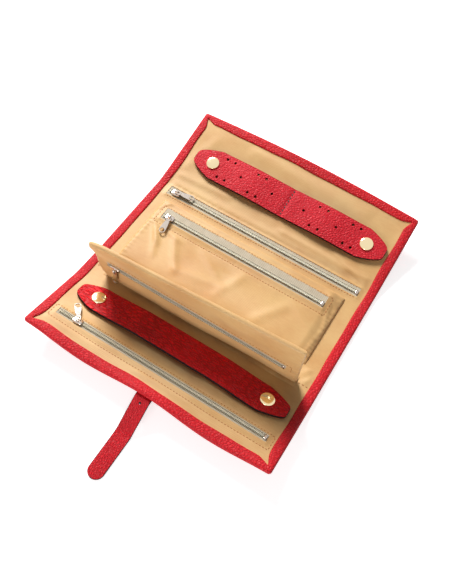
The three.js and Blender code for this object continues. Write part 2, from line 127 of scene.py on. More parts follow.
def on_cover(x, s, h):
    """The point at width x, length s along the cover's top line and height h above it: the line is the
    running sum of its slope, softened at each fold, and height is measured square to it."""
    x, s, h = np.broadcast_arrays(*[np.asarray(a, float) for a in (x, s, h)])
    out, up = slump(x, s)
    slope = np.interp(s, path_places, path_slopes)
    y = np.interp(s + out, path_places, path_y) - h * np.sin(slope)
    z = np.interp(s + out, path_places, path_z) + h * np.cos(slope) + up
    return np.stack([x, y, z], -1)


def add_mesh(name, points, faces, sharp, surface=None):
    """Puts points in millimetres and rows of face corners into a mesh, turns a closed shell that is
    inside out, shades it smooth except at edges sharper than the angle, and gives it its material."""
    points = np.asarray(points, float).reshape(-1, 3)
    rows = [np.asarray(f, int) for f in faces]
    volume = 0.0
    for f in rows:
        for k in range(1, f.shape[1] - 1):
            a, b, c = points[f[:, 0]], points[f[:, k]], points[f[:, k + 1]]
            volume += np.sum(a * np.cross(b, c))
    if volume < 0:
        rows = [f[:, ::-1] for f in rows]
    mesh = bpy.data.meshes.new(name)
    mesh.from_pydata((points * MM).tolist(), [], [face for f in rows for face in f.tolist()])
    mesh.shade_smooth()
    mesh.set_sharp_from_angle(angle=math.radians(sharp))
    made = bpy.data.objects.new(name, mesh)
    bpy.context.scene.collection.objects.link(made)
    if surface:
        mesh.materials.append(surface)
    return made


def grid_faces(n, m, around=False, across=False, start=0):
    """Four-cornered faces between the points of an n by m grid, joined round either way if asked."""
    i, j = np.meshgrid(np.arange(n if around else n - 1), np.arange(m if across else m - 1), indexing="ij")
    i, j = i.ravel(), j.ravel()
    k, l = (i + 1) % n, (j + 1) % m
    return np.stack([i * m + j, k * m + j, k * m + l, i * m + l], -1) + start


def slab_parts(top, bottom, start=0):
    """The points and faces of a closed slab between two grids of the same size, with a wall round its rim."""
    n, m = top.shape[:2]
    size = n * m
    upper = grid_faces(n, m)
    rim = np.concatenate([
        np.arange(m),
        np.arange(1, n) * m + m - 1,
        np.arange(m - 2, -1, -1) + (n - 1) * m,
        np.arange(n - 2, 0, -1) * m,
    ])
    after = np.roll(rim, -1)
    wall = np.stack([rim, rim + size, after + size, after], -1)
    faces = [upper + start, upper[:, ::-1] + size + start, wall[:, ::-1] + start]
    return np.concatenate([top.reshape(-1, 3), bottom.reshape(-1, 3)]), faces


def add_slab(name, top, bottom, sharp, surface):
    """A closed piece between two grids of the same size."""
    points, faces = slab_parts(top, bottom)
    return add_mesh(name, points, faces, sharp, surface)


def hex_colour(code):
    """An sRGB hex value as linear red, green, blue and 1."""
    parts = [int(code[i:i + 2], 16) / 255 for i in (1, 3, 5)]
    return [c / 12.92 if c <= 0.04045 else ((c + 0.055) / 1.055) ** 2.4 for c in parts] + [1.0]


def feed(node, inputs):
    """Gives each input of a node its value, or what feeds it: a socket, or another node's first output.
    A hex value becomes its colour."""
    for key, value in inputs.items():
        if isinstance(value, bpy.types.Node):
            value = value.outputs[0]
        if isinstance(value, bpy.types.NodeSocket):
            node.id_data.links.new(value, node.inputs[key])
        else:
            node.inputs[key].default_value = hex_colour(value) if isinstance(value, str) else value


def add_node(tree, kind, inputs, **settings):
    """A shader node of that kind with its settings and inputs."""
    made = tree.nodes.new("ShaderNode" + kind)
    for key, value in settings.items():
        setattr(made, key, value)
    feed(made, inputs)
    return made


def start_material(name, **constants):
    """A new material, its node tree, its Principled shader with these constants on its own sockets, and
    its Object coordinates. A pattern's scale is in cycles a metre, so 1000 is a millimetre, but the bands
    of a wave texture are 314 mm over its scale apart."""
    made = bpy.data.materials.new(name)
    made.use_nodes = True
    tree = made.node_tree
    shader = tree.nodes["Principled BSDF"]
    feed(shader, {key.replace("_", " "): value for key, value in constants.items()})
    return made, tree, shader, add_node(tree, "TexCoord", {}).outputs["Object"]


def pebbled_leather(name, light, deep, grain, stretch, relief=0.00045):
    """Pebbled cowhide: cells as wide as the grain in millimetres, a little coarser than life so that they
    show, with sunken creases between them whose colour is painted darker as painted shade, pores of 0.4 mm,
    and patches of 45 mm where its tone varies at random."""
    made, tree, shader, place = start_material(name, Roughness=0.52, Specular_IOR_Level=0.2)
    turned = add_node(tree, "Mapping", {"Vector": place, "Scale": stretch})
    drift = add_node(tree, "TexNoise", {"Vector": turned, "Scale": 260, "Detail": 2})
    bent = add_node(tree, "VectorMath", {0: drift.outputs["Color"], 1: (0.0012, 0.0012, 0.0012)},
                    operation="MULTIPLY")
    moved = add_node(tree, "VectorMath", {0: turned, 1: bent}, operation="ADD")
    cells = add_node(tree, "TexVoronoi", {"Vector": moved, "Scale": 1 / (grain * MM)},
                     feature="DISTANCE_TO_EDGE")
    crease = add_node(tree, "MapRange", {"Value": cells.outputs["Distance"], "From Max": 0.3},
                      interpolation_type="SMOOTHSTEP")
    patches = add_node(tree, "TexNoise", {"Vector": place, "Scale": 22, "Detail": 3})
    # The creases mix towards the deep colour as painted shade, on top of random patches of tone.
    shade = add_node(tree, "Math", {0: crease, 1: 0.6, 2: patches}, operation="MULTIPLY_ADD")
    colour = add_node(tree, "MixRGB", {"Fac": shade, "Color1": deep, "Color2": light}, use_clamp=True)
    pores = add_node(tree, "TexNoise", {"Vector": place, "Scale": 2600, "Detail": 3})
    height = add_node(tree, "Math", {0: pores, 1: 0.12, 2: crease}, operation="MULTIPLY_ADD")
    bump = add_node(tree, "Bump", {"Height": height, "Strength": 0.85, "Distance": relief})
    feed(shader, {"Base Color": colour, "Normal": bump})
    return made


cover_leather = pebbled_leather("pebbled cowhide, dyed red", leather_red, leather_deep, 2.1, (0.8, 1, 1))


def border_shape(x, s):
    """Pulls the border's inner corners out along their mitres, and lets its inner edge wander a little."""
    for side in (-1, 1):
        for end, way in ((border_width, -1), (cover_length - border_width, 1)):
            corner_x = side * (cover_half_width - border_width)
            pull = mitre_pull * bell(np.hypot(x - corner_x, s - end) / mitre_pull)
            x = x + side * pull
            s = s + way * pull
    band = bell((np.abs(x) - cover_half_width + border_width) / 3)
    ends = np.minimum(s, cover_length - s)
    x = x + np.sign(x) * band * edge_wander * soft_noise(s, 0 * s, 46, 3) * smooth((ends - 12) / 12)
    edge = bell((ends - border_width) / 3) * smooth((cover_half_width - np.abs(x) - 12) / 12)
    return x, s + edge * edge_wander * soft_noise(x, 0 * x, 52, 5)


def clustered(limits, special, step):
    """Places between two limits about one step apart, with each special place kept exactly."""
    marks = np.unique(np.concatenate([limits, [p for p in special if limits[0] < p < limits[1]]]))
    runs = [np.linspace(a, b, max(2, int(math.ceil((b - a) / step)) + 1)) for a, b in zip(marks, marks[1:])]
    return np.unique(np.round(np.concatenate(runs), 5))


def bend_over(piece):
    """Bakes a piece's transform into its mesh; it does not bend the piece."""
    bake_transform(piece)


rim_marks = np.array([0, 0.08, 0.3, 0.65, 1.1, 1.6, 2.2])
rim_marks = np.append(rim_marks, border_width + np.array([-1.0, -0.5, -0.2, 0, 0.12]))
cover_x = clustered([-cover_half_width, cover_half_width],
                    np.concatenate([rim_marks - cover_half_width, cover_half_width - rim_marks]), 3)


def cover_section(name, start, end):
    """One length of the cover: a border with a rounded rim and a slightly puffed top, a sunken floor for the
    lining inside it, and a flat underside."""
    s = clustered([start, end], np.concatenate([rim_marks, cover_length - rim_marks, fold_places]), 2)
    x, s = np.meshgrid(cover_x, s, indexing="ij")
    side = cover_half_width - np.abs(x)
    ends = np.minimum(s, cover_length - s)
    depth = np.minimum(side, ends)
    away = np.clip(border_rim - depth, 0, border_rim)
    rim = border_rim - np.sqrt(border_rim ** 2 - away ** 2)
    puff = border_puff * np.sin(math.pi * np.clip(depth / border_width, 0, 1))
    tuck = border_tuck * np.clip((depth - border_width) / 0.8 + 1, 0, 1) ** 2
    inside = depth > border_width + 0.05
    top = np.where(inside, leather_wall - cover_thickness, puff - rim - tuck)
    base = rim - cover_thickness
    a, b = np.clip(1 - side / corner_round, 0, 1), np.clip(1 - ends / corner_round, 0, 1)
    shrink = np.where((a > 0) & (b > 0), np.maximum(a, b) / np.maximum(np.hypot(a, b), 1e-9), 1)
    side = np.where(a > 0, corner_round * (1 - a * shrink), side)
    ends = np.where(b > 0, corner_round * (1 - b * shrink), ends)
    x = np.sign(x) * (cover_half_width - side)
    s = np.where(s < cover_length / 2, ends, cover_length - ends)
    wx, ws = border_shape(x, s)
    made = add_slab(name, on_cover(wx, ws, top), on_cover(x, s, base), 50, cover_leather)
    bend_over(made)
    return made


near_cut, far_cut = 91.0, 218.0
cover_near = cover_section("cover_near", 0, near_cut)
cover_seam = cover_section("cover_seam", near_cut, middle_place)
cover_back = cover_section("cover_back", middle_place, far_cut)
cover_far = cover_section("cover_far", far_cut, cover_length)
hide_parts("near_leather", "near_board", "near_pocket_bag")
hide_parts("near_spine_leather", "middle_leather", "middle_board", "middle_pocket_bag")
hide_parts("far_spine_leather", "catch_plate")
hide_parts("far_leather", "far_board")

# The satin lining
# Woven polyester satin in tan gold, cut to the window inside the leather border and laid over the boards.
# Its edges are folded back along the zips as soft welts, and it ruckles where the cover bends.
lining_half_width = cover_half_width - border_width
lining_thickness = 0.5
lining_height = -1.1
satin_gold = "#D3AE76"
# satin_deep colours the low parts of the satin's bump, as painted shade, and its darker random patches.
satin_deep = "#C2925C"
near_zip = {"s": 26.3005, "near": 4.05, "far": 4.05, "left": -108, "right": 108}
base_zip = {"s": 203.9, "near": 4.9, "far": 6.0, "left": -109.5, "right": 109.5}
welt_height = 1.0
welt_width = 2.6
welt_sink = 0.15


def woven_satin(name, light, deep, glow):
    """Polyester satin: floats of about 1 by 6 mm along the cloth give a soft streaked gloss, and its colour
    is painted darker where its bump is low, as painted shade in the hollows, besides varying at random in
    patches. Its 0.15 mm threads are drawn 1.4 mm apart, because finer ones don't show."""
    made, tree, shader, place = start_material(name, Roughness=0.55, Sheen_Weight=glow, Sheen_Roughness=0.4,
                                               Specular_IOR_Level=0.4, Anisotropic=0.45)
    patches = add_node(tree, "TexNoise", {"Vector": place, "Scale": 30, "Detail": 4})
    long = add_node(tree, "Mapping", {"Vector": place, "Scale": (0.12, 1, 1)})
    floats = add_node(tree, "TexNoise", {"Vector": long, "Scale": 1400, "Detail": 2})
    mixed = add_node(tree, "Math", {0: floats, 1: 0.35, 2: patches}, operation="MULTIPLY_ADD")
    share = add_node(tree, "MapRange", {"Value": mixed, "From Min": 0.4, "From Max": 0.95})
    # Colour and bump height both follow mixed, so the low parts of the bump are painted darker as painted
    # shade.
    colour = add_node(tree, "MixRGB", {"Fac": share, "Color1": deep, "Color2": light})
    weave = add_node(tree, "TexWave", {"Vector": place, "Scale": 220, "Distortion": 1.5, "Detail": 1},
                     bands_direction="Y").outputs["Fac"]
    height = add_node(tree, "Math", {0: weave, 1: 0.25, 2: mixed}, operation="MULTIPLY_ADD")
    bump = add_node(tree, "Bump", {"Height": height, "Strength": 0.3, "Distance": 0.0006})
    feed(shader, {"Base Color": colour, "Normal": bump})
    return made


satin = woven_satin("woven polyester satin, tan gold", satin_gold, satin_deep, 0.1)


def welt(across, near, far, left_gap, right_gap):
    """The height of cloth folded back round a zip: sunk inside its oblong opening, and outside it a
    bell-shaped ridge that falls away with the distance from the opening."""
    side = np.clip(np.where(across < 0, -across - near, across - far), 0, None)
    past = np.clip(-np.minimum(left_gap, right_gap), 0, None)
    away = np.hypot(side, past)
    return np.where(away == 0, -welt_sink, welt_height * bell(away / welt_width))


def lip_marks(low, high):
    """Grid places at both edges of an opening and 0.12 mm outside them, so that its lips stay crisp."""
    return [low - 0.12, low, high, high + 0.12]


def fold_lines(x, s, lines):
    """A sum of soft folds, each given by its two ends, its width and its height: a bell across the line
    that fades beyond both ends."""
    total = 0
    for ax, ay, bx, by, width, height in lines:
        length = math.hypot(bx - ax, by - ay)
        along = ((x - ax) * (bx - ax) + (s - ay) * (by - ay)) / length
        off = ((x - ax) * (by - ay) - (s - ay) * (bx - ax)) / length
        faded = smooth(along / 12 + 0.5) * smooth((length - along) / 12 + 0.5)
        total = total + height * bell(off / width) * faded
    return total


def stitched_in(x, across, rows):
    """The cloth along rows of stitches: each row pulls it into a narrow groove, and the cloth beside the
    row puckers at random, about every 5 mm."""
    total = 0
    for k, row in enumerate(rows):
        off = across - row
        pucker = 0.16 * soft_noise(x, 1.5 * off, 5.2, 60 + k) + 0.1
        total = total + pucker * bell(off / 2.4) - 0.28 * bell(off / 0.8)
    return total * smooth((107 - np.abs(x)) / 8 + 0.5)


near_rows = (-8.65, 5.25)
base_rows = (-6.2, 8.6)
lining_folds = [
    (-118, 16, -60, 14, 3.2, 0.5),
    (-20, 15, 40, 17, 4, 0.6),
    (30, 44, 112, 36, 4.5, 0.9),
    (-30, 42, 60, 45, 4, 0.7),
    (-95, 62, -40, 70, 4, 0.5),
    (108, 92, 116, 104, 3, 0.9),
    (104, 100, 116, 124, 3.4, 0.8),
    (-112, 214, 90, 217, 4.2, 1.0),
    (10, 223, 112, 221, 3.4, 1.0),
    (70, 229, 114, 214, 2.6, 0.8),
    (-112, 226, -50, 229, 4, 0.7),
    (-110, 236, -96, 282, 6, 0.5),
    (-60, 284, 80, 280, 7, 0.8),
]


def lining_rise(x, s):
    """The lining's height over its flat lay: welts beside the two zips, folds, and a slight quilting that
    fades out at the border and beneath what is sewn on."""
    rise = 0
    for z in (near_zip, base_zip):
        rise = rise + welt(s - z["s"], z["near"], z["far"], x - z["left"], z["right"] - x)
    inner = np.minimum(lining_half_width - np.abs(x), np.minimum(s, cover_length - s) - border_width)
    free = smooth(inner / 6)
    under_pouch = 1 - smooth((s - 106) / 4) * smooth((194 - s) / 4)
    near_tape = 1 - bell((s - base_zip["s"]) / 9) - bell((s - near_zip["s"]) / 8)
    loose = free * under_pouch * np.clip(near_tape, 0, 1)
    calm = fold_lines(x, s, lining_folds) + 0.28 * soft_noise(x, s, 34, 11)
    sewn = stitched_in(x, s - near_zip["s"], near_rows) + stitched_in(x, s - base_zip["s"], base_rows)
    return rise * smooth((inner + 1) / 2) + loose * calm + sewn * smooth(inner / 3)


def lining_section(name, start, end):
    """One length of lining: a thin sheet a hair inside the border, laid in the cover's sunken floor."""
    first, last = max(start, border_width + 0.15), min(end, cover_length - border_width - 0.15)
    marks = []
    ends = []
    for z in (near_zip, base_zip):
        marks += lip_marks(z["s"] - z["near"], z["s"] + z["far"])
        if first < z["s"] < last:
            ends += lip_marks(z["left"], z["right"])
    half = lining_half_width - 0.15
    widths, lengths = clustered([-half, half], ends, 1.6), clustered([first, last], marks, 1.25)
    x, s = np.meshgrid(widths, lengths, indexing="ij")
    top = lining_height + lining_rise(x, s)
    x, s = border_shape(x, s)
    made = add_slab(name, on_cover(x, s, top), on_cover(x, s, top - lining_thickness), 50, satin)
    bend_over(made)
    return made


lining_near = lining_section("lining_near", 0, near_cut)
lining_seam = lining_section("lining_seam", near_cut, middle_place)
lining_back = lining_section("lining_back", middle_place, far_cut)
lining_far = lining_section("lining_far", far_cut, cover_length)
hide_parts("near_lining")
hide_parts("near_spine_lining", "middle_lining")
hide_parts("far_spine_lining")
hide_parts("far_lining")

# The pouch on the middle section
# A flat satin bag sewn to the lining along its sides and the page's seam, with a zip let into its top.
# It is cut full, so it puckers at its seams and folds softly from the zip's ends. It ramps up from its
# seam side, and its right end lies lower.
pouch_left = -105.5
pouch_right = 101.5
pouch_start = 110.3
pouch_end = 191.3
pouch_top = 3.8
pouch_thickness = 0.6
pouch_ramp, pouch_foot = 18.0, 0.12
pouch_droop = 0.5
pouch_zip = {"s": 171.3, "near": 4.2, "far": 9.6, "left": -95, "right": 88}
pouch_rows = (-10.0, 10.8)
pouch_folds = [
    (-103, 168, -80, 140, 2.8, 1.3),
    (-98, 162, -62, 154, 2.4, 1.0),
    (-92, 158, -76, 126, 3.2, 0.8),
    (-70, 156, -48, 122, 3.8, 1.0),
    (-40, 158, -10, 140, 3.6, 0.7),
    (-52, 126, 0, 134, 5.0, 0.8),
    (10, 158, -4, 122, 5.0, 0.7),
    (38, 118, 60, 152, 5.4, 0.7),
    (60, 158, 98, 134, 4.4, 0.7),
    (92, 176, 99, 150, 2.4, 1.1),
    (84, 186, 100, 178, 2.2, 1.2),
    (96, 120, 101, 160, 2.2, 1.0),
    (-103, 178, -94, 190, 2.2, 1.1),
]


def quarter_round(d, size):
    """A quarter circle that rises from 0 at distance 0 to 1 at the given size."""
    return np.sqrt(np.clip(1 - np.square(1 - np.clip(d / size, 0, 1)), 0, 1))


def unit(ways):
    """Each vector at length 1."""
    return ways / np.maximum(np.linalg.norm(ways, axis=-1, keepdims=True), 1e-9)


def pouch_rise(x, s):
    """The pouch's height above the cover's top line: a bag that rises from its outline like a rounded
    step, ramps up from the seam side, and carries folds, puckers and the welts of its zip."""
    left, right = x - pouch_left, pouch_right - x
    near, far = s - pouch_start, pouch_end - s
    body = quarter_round(left, 4.4) * quarter_round(right, 4.0) * quarter_round(far, 3.0)
    body = body * (pouch_foot + (1 - pouch_foot) * quarter_round(near, pouch_ramp))
    body = body * (1 - pouch_droop * smooth((x - pouch_zip["right"]) / 12))
    inner = np.minimum(np.minimum(left, right), np.minimum(near, far))
    across = s - pouch_zip["s"]
    from_left, from_right = x - pouch_zip["left"], pouch_zip["right"] - x
    tape = bell(across / 11) * smooth((from_left + 8) / 8) * smooth((from_right + 8) / 8)
    loose = smooth(inner / 7) * (1 - 0.92 * tape)
    pucker = 0.3 * np.sin(s * 1.15 + 2 * np.sin(s * 0.2)) * (bell(left / 6) + bell(right / 6))
    folds = fold_lines(x, s, pouch_folds) - 0.35 + 0.35 * soft_noise(x, s, 30, 21)
    opening = welt(across, pouch_zip["near"], pouch_zip["far"], from_left, from_right)
    floor = lining_height + 0.15
    sewn = stitched_in(x + 4, across, pouch_rows) * smooth(inner / 3)
    rise = floor + (pouch_top - floor) * body + loose * folds
    return rise + (pucker + opening) * smooth(inner / 2) + sewn


pouch_marks = lip_marks(pouch_zip["s"] - pouch_zip["near"], pouch_zip["s"] + pouch_zip["far"])
edge_marks = np.array([0.15, 0.5, 1.1, 2.0, 3.2])
side_marks = np.concatenate([pouch_left + edge_marks, pouch_right - edge_marks,
                             lip_marks(pouch_zip["left"], pouch_zip["right"])])
pouch_x = clustered([pouch_left, pouch_right], side_marks, 1.5)
pouch_s = clustered([pouch_start, pouch_end], np.concatenate([pouch_marks, pouch_end - edge_marks]), 1.2)
bag_x, bag_s = np.meshgrid(pouch_x, pouch_s, indexing="ij")
bag_top = on_cover(bag_x, bag_s, pouch_rise(bag_x, bag_s))
bag_normal = unit(np.cross(np.gradient(bag_top, axis=0), np.gradient(bag_top, axis=1)))
pouch_cloth = add_slab("pouch_cloth", bag_top, bag_top - pouch_thickness * bag_normal, 60, satin)
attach(pouch_cloth, "middle")
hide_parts("pouch_front", "pouch_back")

# The standing page
# A stiff card with one piece of satin folded over its top edge, sewn down to the lining along its foot.
# Above its zip it curls over at its left and back at its right, and its pocket bulges over its foot.
page_hinge = np.array([0, -68.588, 7.795])
page_across = np.array([0, 0.987688, 0.156434])
page_up = np.array([0, -0.156434, 0.987688])
page_half_width = 103.0
page_shoulder = 62.7
page_half_thickness = 2.3
page_foot = -2.9
page_cloth_thickness = 0.5
page_zip = {"near": 3.3, "far": 3.3, "left": -91, "right": 91}
page_zip_height = 25.5
page_curl_size = 5.0
page_flare = 6.0
page_bulge_least, page_bulge_more = 1.3, 2.7
page_folds = [
    (-96, 8, -40, 20, 3.0, 0.5),
    (-30, 10, 34, 16, 4.0, 0.5),
    (40, 20, 92, 10, 3.4, 0.5),
    (-60, 48, 0, 40, 6.0, 0.5),
    (20, 52, 84, 44, 6.0, 0.6),
    (84, 8, 100, 44, 2.4, 0.7),
]


def page_curl(x, up):
    """How far the page curls: towards the near side at its top left corner, as far the other way at its
    top right one, and falling smoothly to nothing at the zip."""
    return -page_curl_size * x / page_half_width * smooth((up - 24) / 41)


def on_page(x, up, out):
    """The point at width x, that far up the page and out from its middle towards the near side. The left
    end flares out above the seam, and its top corner is rounded."""
    x, up, out = np.broadcast_arrays(*[np.asarray(a, float) for a in (x, up, out)])
    curl = page_curl(x, up)
    left = np.clip(-x / page_half_width, 0, 1)
    corner = smooth((up - 46) / 18) * left ** 10
    flare = page_flare * smooth((up + 2) / 22) * left ** 3
    side = np.stack([x - flare + 3.5 * corner, 0 * x, 0 * x], -1)
    high = up - curl ** 2 / 90 - 4.5 * corner
    return page_hinge + side - (out + curl)[..., None] * page_across + high[..., None] * page_up


def page_bulge(x, up):
    """How far the near pocket bulges between the foot and the zip: most over the left half, and pinched at
    both side seams."""
    size = page_bulge_least + page_bulge_more * (1 - smooth((x + 15) / 80))
    sides = quarter_round(page_half_width - np.abs(x), 9)
    return size * sides * smooth((up + 1.5) / 3.5) * (1 - smooth((up - 10) / 15))


def page_swell(x, up):
    """How far the near face stands out: the pocket's bulge, soft folds, the welts of the zip and puckers
    at the side seams."""
    side = page_half_width - np.abs(x)
    inner = np.minimum(side, np.minimum(up + 3, page_shoulder + 2 - up))
    across = up - page_zip_height
    from_left, from_right = x - page_zip["left"], page_zip["right"] - x
    opening = 0.6 * welt(across, page_zip["near"], page_zip["far"], from_left, from_right)
    loose = smooth(inner / 9) * (1 - bell(across / 7))
    folds = fold_lines(x, up, page_folds) + 0.25 * soft_noise(x, up, 28, 31)
    pucker = 0.35 * np.sin(up * 1.05 + 0.6 * np.sin(up * 0.4)) * bell(side / 5)
    return page_bulge(x, up) + loose * folds + opening * smooth(inner / 3) + pucker * smooth(inner / 1.5)


side_marks = np.array([0.3, 0.9, 1.8, 3.0])
page_x = clustered([-page_half_width, page_half_width],
                   np.concatenate([side_marks - page_half_width, page_half_width - side_marks]), 1.5)
page_split = page_zip_height + 5.0
page_lips = lip_marks(page_zip_height - page_zip["near"], page_zip_height + page_zip["far"])
face_up = clustered([page_foot, page_shoulder], page_lips + [page_split], 1.0)
arc = np.linspace(0, math.pi, 11)[1:-1]
loop_up = np.concatenate([face_up, page_shoulder + page_half_thickness * np.sin(arc), face_up[::-1]])
loop_out = np.concatenate([0 * face_up + 1, np.cos(arc), 0 * face_up - 1]) * page_half_thickness
page_grid_x, page_grid_up = np.meshgrid(page_x, loop_up, indexing="ij")
page_grid_out = np.broadcast_to(loop_out, page_grid_x.shape).copy()
front = np.arange(loop_up.size) < face_up.size
page_grid_out[:, front] += page_swell(page_grid_x[:, front], page_grid_up[:, front])
back_side = np.arange(loop_up.size) >= loop_up.size - face_up.size
back_folds = soft_noise(page_grid_x[:, back_side], page_grid_up[:, back_side], 40, 33)
page_grid_out[:, back_side] -= 0.4 * np.clip(back_folds, -0.2, 1)
page_grid_out *= 0.3 + 0.7 * quarter_round(page_half_width - np.abs(page_grid_x), 2.6)
page_grid_out *= 0.35 + 0.65 * smooth((page_grid_up - page_foot) / 4)
page_shell = on_page(page_grid_x, page_grid_up, page_grid_out)
page_normal = unit(np.cross(np.gradient(page_shell, axis=0), np.gradient(page_shell, axis=1)))
# The cloth's inner face lies on the card's side of its outer one, whichever way the normals point.
inward = page_shell + page_cloth_thickness * page_normal
if np.sum((inward - page_shell)[10, 10] * (on_page(0, 20, 0) - on_page(0, 20, 5))) < 0:
    inward = page_shell - page_cloth_thickness * page_normal
split = int(np.argmin(np.abs(face_up - page_split)))
upper = slice(split, loop_up.size - split)
front_points, front_faces = slab_parts(page_shell[:, :split + 1], inward[:, :split + 1])
back_points, back_faces = slab_parts(page_shell[:, -split - 1:], inward[:, -split - 1:], len(front_points))
lower_points = np.concatenate([front_points, back_points])
page_lower = add_mesh("page_cloth_lower", lower_points, front_faces + back_faces, 60, satin)
page_upper = add_slab("page_cloth_upper", page_shell[:, upper], inward[:, upper], 60, satin)
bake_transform(page_lower)
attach(page_upper, "page")
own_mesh(page_upper)
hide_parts("page_front")
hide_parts("page_back", "page_board")

# The page's seam
# A narrow strip of the same satin, sewn flat over the lining on both sides of the page's foot, with a
# ridge between. It holds the page to the cover's near spine.
seam_place = 91.0
seam_half_width = 6.0
seam_x = clustered([-page_half_width, page_half_width], [], 2)
seam_across = clustered([-seam_half_width, seam_half_width], [-1.8, -1.2, 1.2, 1.8, -5.7, 5.7], 0.7)
seam_grid_x, seam_grid_across = np.meshgrid(seam_x, seam_across, indexing="ij")
seam_top = lining_height + 0.65 - 0.45 * (np.abs(seam_grid_across) / seam_half_width) ** 6
seam_top = seam_top + 0.5 * bell(seam_grid_across / 1.6)
seam_top = seam_top + 0.1 * soft_noise(seam_grid_x, seam_grid_across, 12, 41)
page_seam = add_slab("page_seam", on_cover(seam_grid_x, seam_place + seam_grid_across, seam_top),
                     on_cover(seam_grid_x, seam_place + seam_grid_across, lining_height + 0.05), 60, satin)
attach(page_seam, "near_spine")
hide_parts("page_hem")

# The zip tapes
# Woven polyester tape in warm grey with fine ribs across it. It carries the coil, shows in the opening
# of the cloth, and is sewn under the cloth on each side.
tape_low = 0.1
tape_high = 0.7
tape_grey = "#C0B39C"
tape_shadow = "#9C8E76"


def on_lining(zip_size):
    """The place of a zip that lies on the cover's lining, from its own width, breadth and height."""
    return lambda x, across, up: on_cover(x, zip_size["s"] + across, lining_height + up)


def on_pouch(x, across, up):
    """The place of the pouch's zip, on the pouch's top."""
    return on_cover(x, pouch_zip["s"] + across, pouch_top + up)


def on_page_face(x, across, up):
    """The place of the page's zip, on the page's bulging near face, whose breadth runs up the page."""
    height = page_zip_height + across
    return on_page(x, height, page_half_thickness + page_bulge(x, height) + up)


def on_page_plate(x, across, up):
    """The place of the page's slider, on the page's near face where that is flat."""
    x, across, up = np.broadcast_arrays(*[np.asarray(a, float) for a in (x, across, up)])
    out = (page_half_thickness + up)[..., None] * page_across
    high = (page_zip_height + across)[..., None] * page_up
    return page_hinge + np.stack([x, 0 * x, 0 * x], -1) - out + high


zips = {
    "near": (near_zip, on_lining(near_zip), "near_panel"),
    "base": (base_zip, on_lining(base_zip), "middle"),
    "pouch": (pouch_zip, on_pouch, "middle"),
    "page": (page_zip, on_page_face, "page"),
}


def ribbed_tape():
    """Woven polyester tape: ribs across it 1.8 mm apart, drawn coarser than the real 0.4 mm weave."""
    made, tree, shader, place = start_material("woven polyester zip tape, warm grey", Roughness=0.8,
                                               Sheen_Weight=0.2)
    ribs = add_node(tree, "TexWave", {"Vector": place, "Scale": 170, "Distortion": 0.4, "Detail": 1},
                    bands_direction="X").outputs["Fac"]
    wear = add_node(tree, "TexNoise", {"Vector": place, "Scale": 160, "Detail": 3})
    both = add_node(tree, "Math", {0: ribs, 1: 0.4, 2: wear}, operation="MULTIPLY_ADD")
    colour = add_node(tree, "MixRGB", {"Fac": both, "Color1": tape_shadow, "Color2": tape_grey},
                      use_clamp=True)
    bump = add_node(tree, "Bump", {"Height": both, "Strength": 0.4, "Distance": 0.0002})
    feed(shader, {"Base Color": colour, "Normal": bump})
    return made


tape_cloth = ribbed_tape()
for zip_name, (size, place_on, body) in zips.items():
    x = clustered([size["left"], size["right"]], [], 2)
    across = clustered([-size["near"] - 0.7, size["far"] + 0.7], [-3.1, -2.8, -2.5, 2.5, 2.8, 3.1], 0.6)
    x, across = np.meshgrid(x, across, indexing="ij")
    ridge = 0.16 * (bell((np.abs(across) - 2.8) / 0.25) - bell(across / 0.5))
    tape_top = place_on(x, across, tape_high + ridge)
    tape = add_slab(zip_name + "_tape", tape_top, place_on(x, across, tape_low), 50, tape_cloth)
    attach(tape, body)
    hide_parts(zip_name + "_zip_tape")

# The zip coils
# A nylon filament wound as two combs that lock together, with a dark thread sewn over each of them.
# Each turn is a small rounded bar across the tape. The 1 mm pitch is drawn as 1.35 mm.
coil_pitch = 1.35
coil_low = 0.8
coil_high = 2.0
coil_reach = 2.1
coil_lap = 0.35
coil_wide, coil_slim = 0.62, 0.44
thread_pitch = 2.4
thread_side = 1.4
thread_size = (0.27, 0.16)
coil_light, coil_shade = "#EAE4D0", "#CFC8B0"
thread_dark, thread_worn = "#37341F", "#57533C"


def full_turn(count):
    """That many equal angles round a full turn."""
    return np.linspace(0, 2 * math.pi, count, endpoint=False)


def end_faces(around, last):
    """The end faces of a tube with that many points round it: its first ring, turned over, and the ring
    that starts at point last."""
    ring = np.arange(around)
    return np.stack([ring[::-1], ring + last])


def capsules(start, end, side, up, wide, high, rings=5, around=8):
    """Many capsules at once, as one array of points and one of faces. Each runs from its start to its
    end: circles along the line, narrowed at both ends by a half circle."""
    t = np.linspace(0, 1, rings)
    narrow = np.sqrt(np.clip(1 - np.abs(2 * t - 1) ** 3.0, 0.04, 1))
    turn = full_turn(around)
    line = start[:, None, None] + (end - start)[:, None, None] * t[None, :, None, None]
    ring_side = side[:, None, None] * (wide * narrow[:, None] * np.cos(turn))[None, ..., None]
    ring_up = up[:, None, None] * (high * narrow[:, None] * np.sin(turn))[None, ..., None]
    points = line + ring_side + ring_up
    count = len(start)
    each = rings * around
    quads = grid_faces(rings, around, across=True)[None] + (np.arange(count) * each)[:, None, None]
    caps = end_faces(around, each - around)[None] + (np.arange(count) * each)[:, None, None]
    return points.reshape(-1, 3), quads.reshape(-1, 4), caps.reshape(-1, around)


def steps_of(place_on, x, across, up):
    """The three directions at a place on a zip: along it, across it and out from it."""
    along = unit(place_on(x + 0.5, across, up) - place_on(x - 0.5, across, up))
    over = unit(place_on(x, across + 0.5, up) - place_on(x, across - 0.5, up))
    return along, over, np.cross(along, over)


def filament(name, colour, worn, rough):
    """Drawn nylon or twisted polyester: smooth, with a soft plastic gloss and a dye uneven over 3 mm."""
    made, tree, shader, place = start_material(name, Roughness=rough)
    dye = add_node(tree, "TexNoise", {"Vector": place, "Scale": 300, "Detail": 2})
    mixed = add_node(tree, "MixRGB", {"Fac": dye, "Color1": colour, "Color2": worn})
    feed(shader, {"Base Color": mixed})
    return made


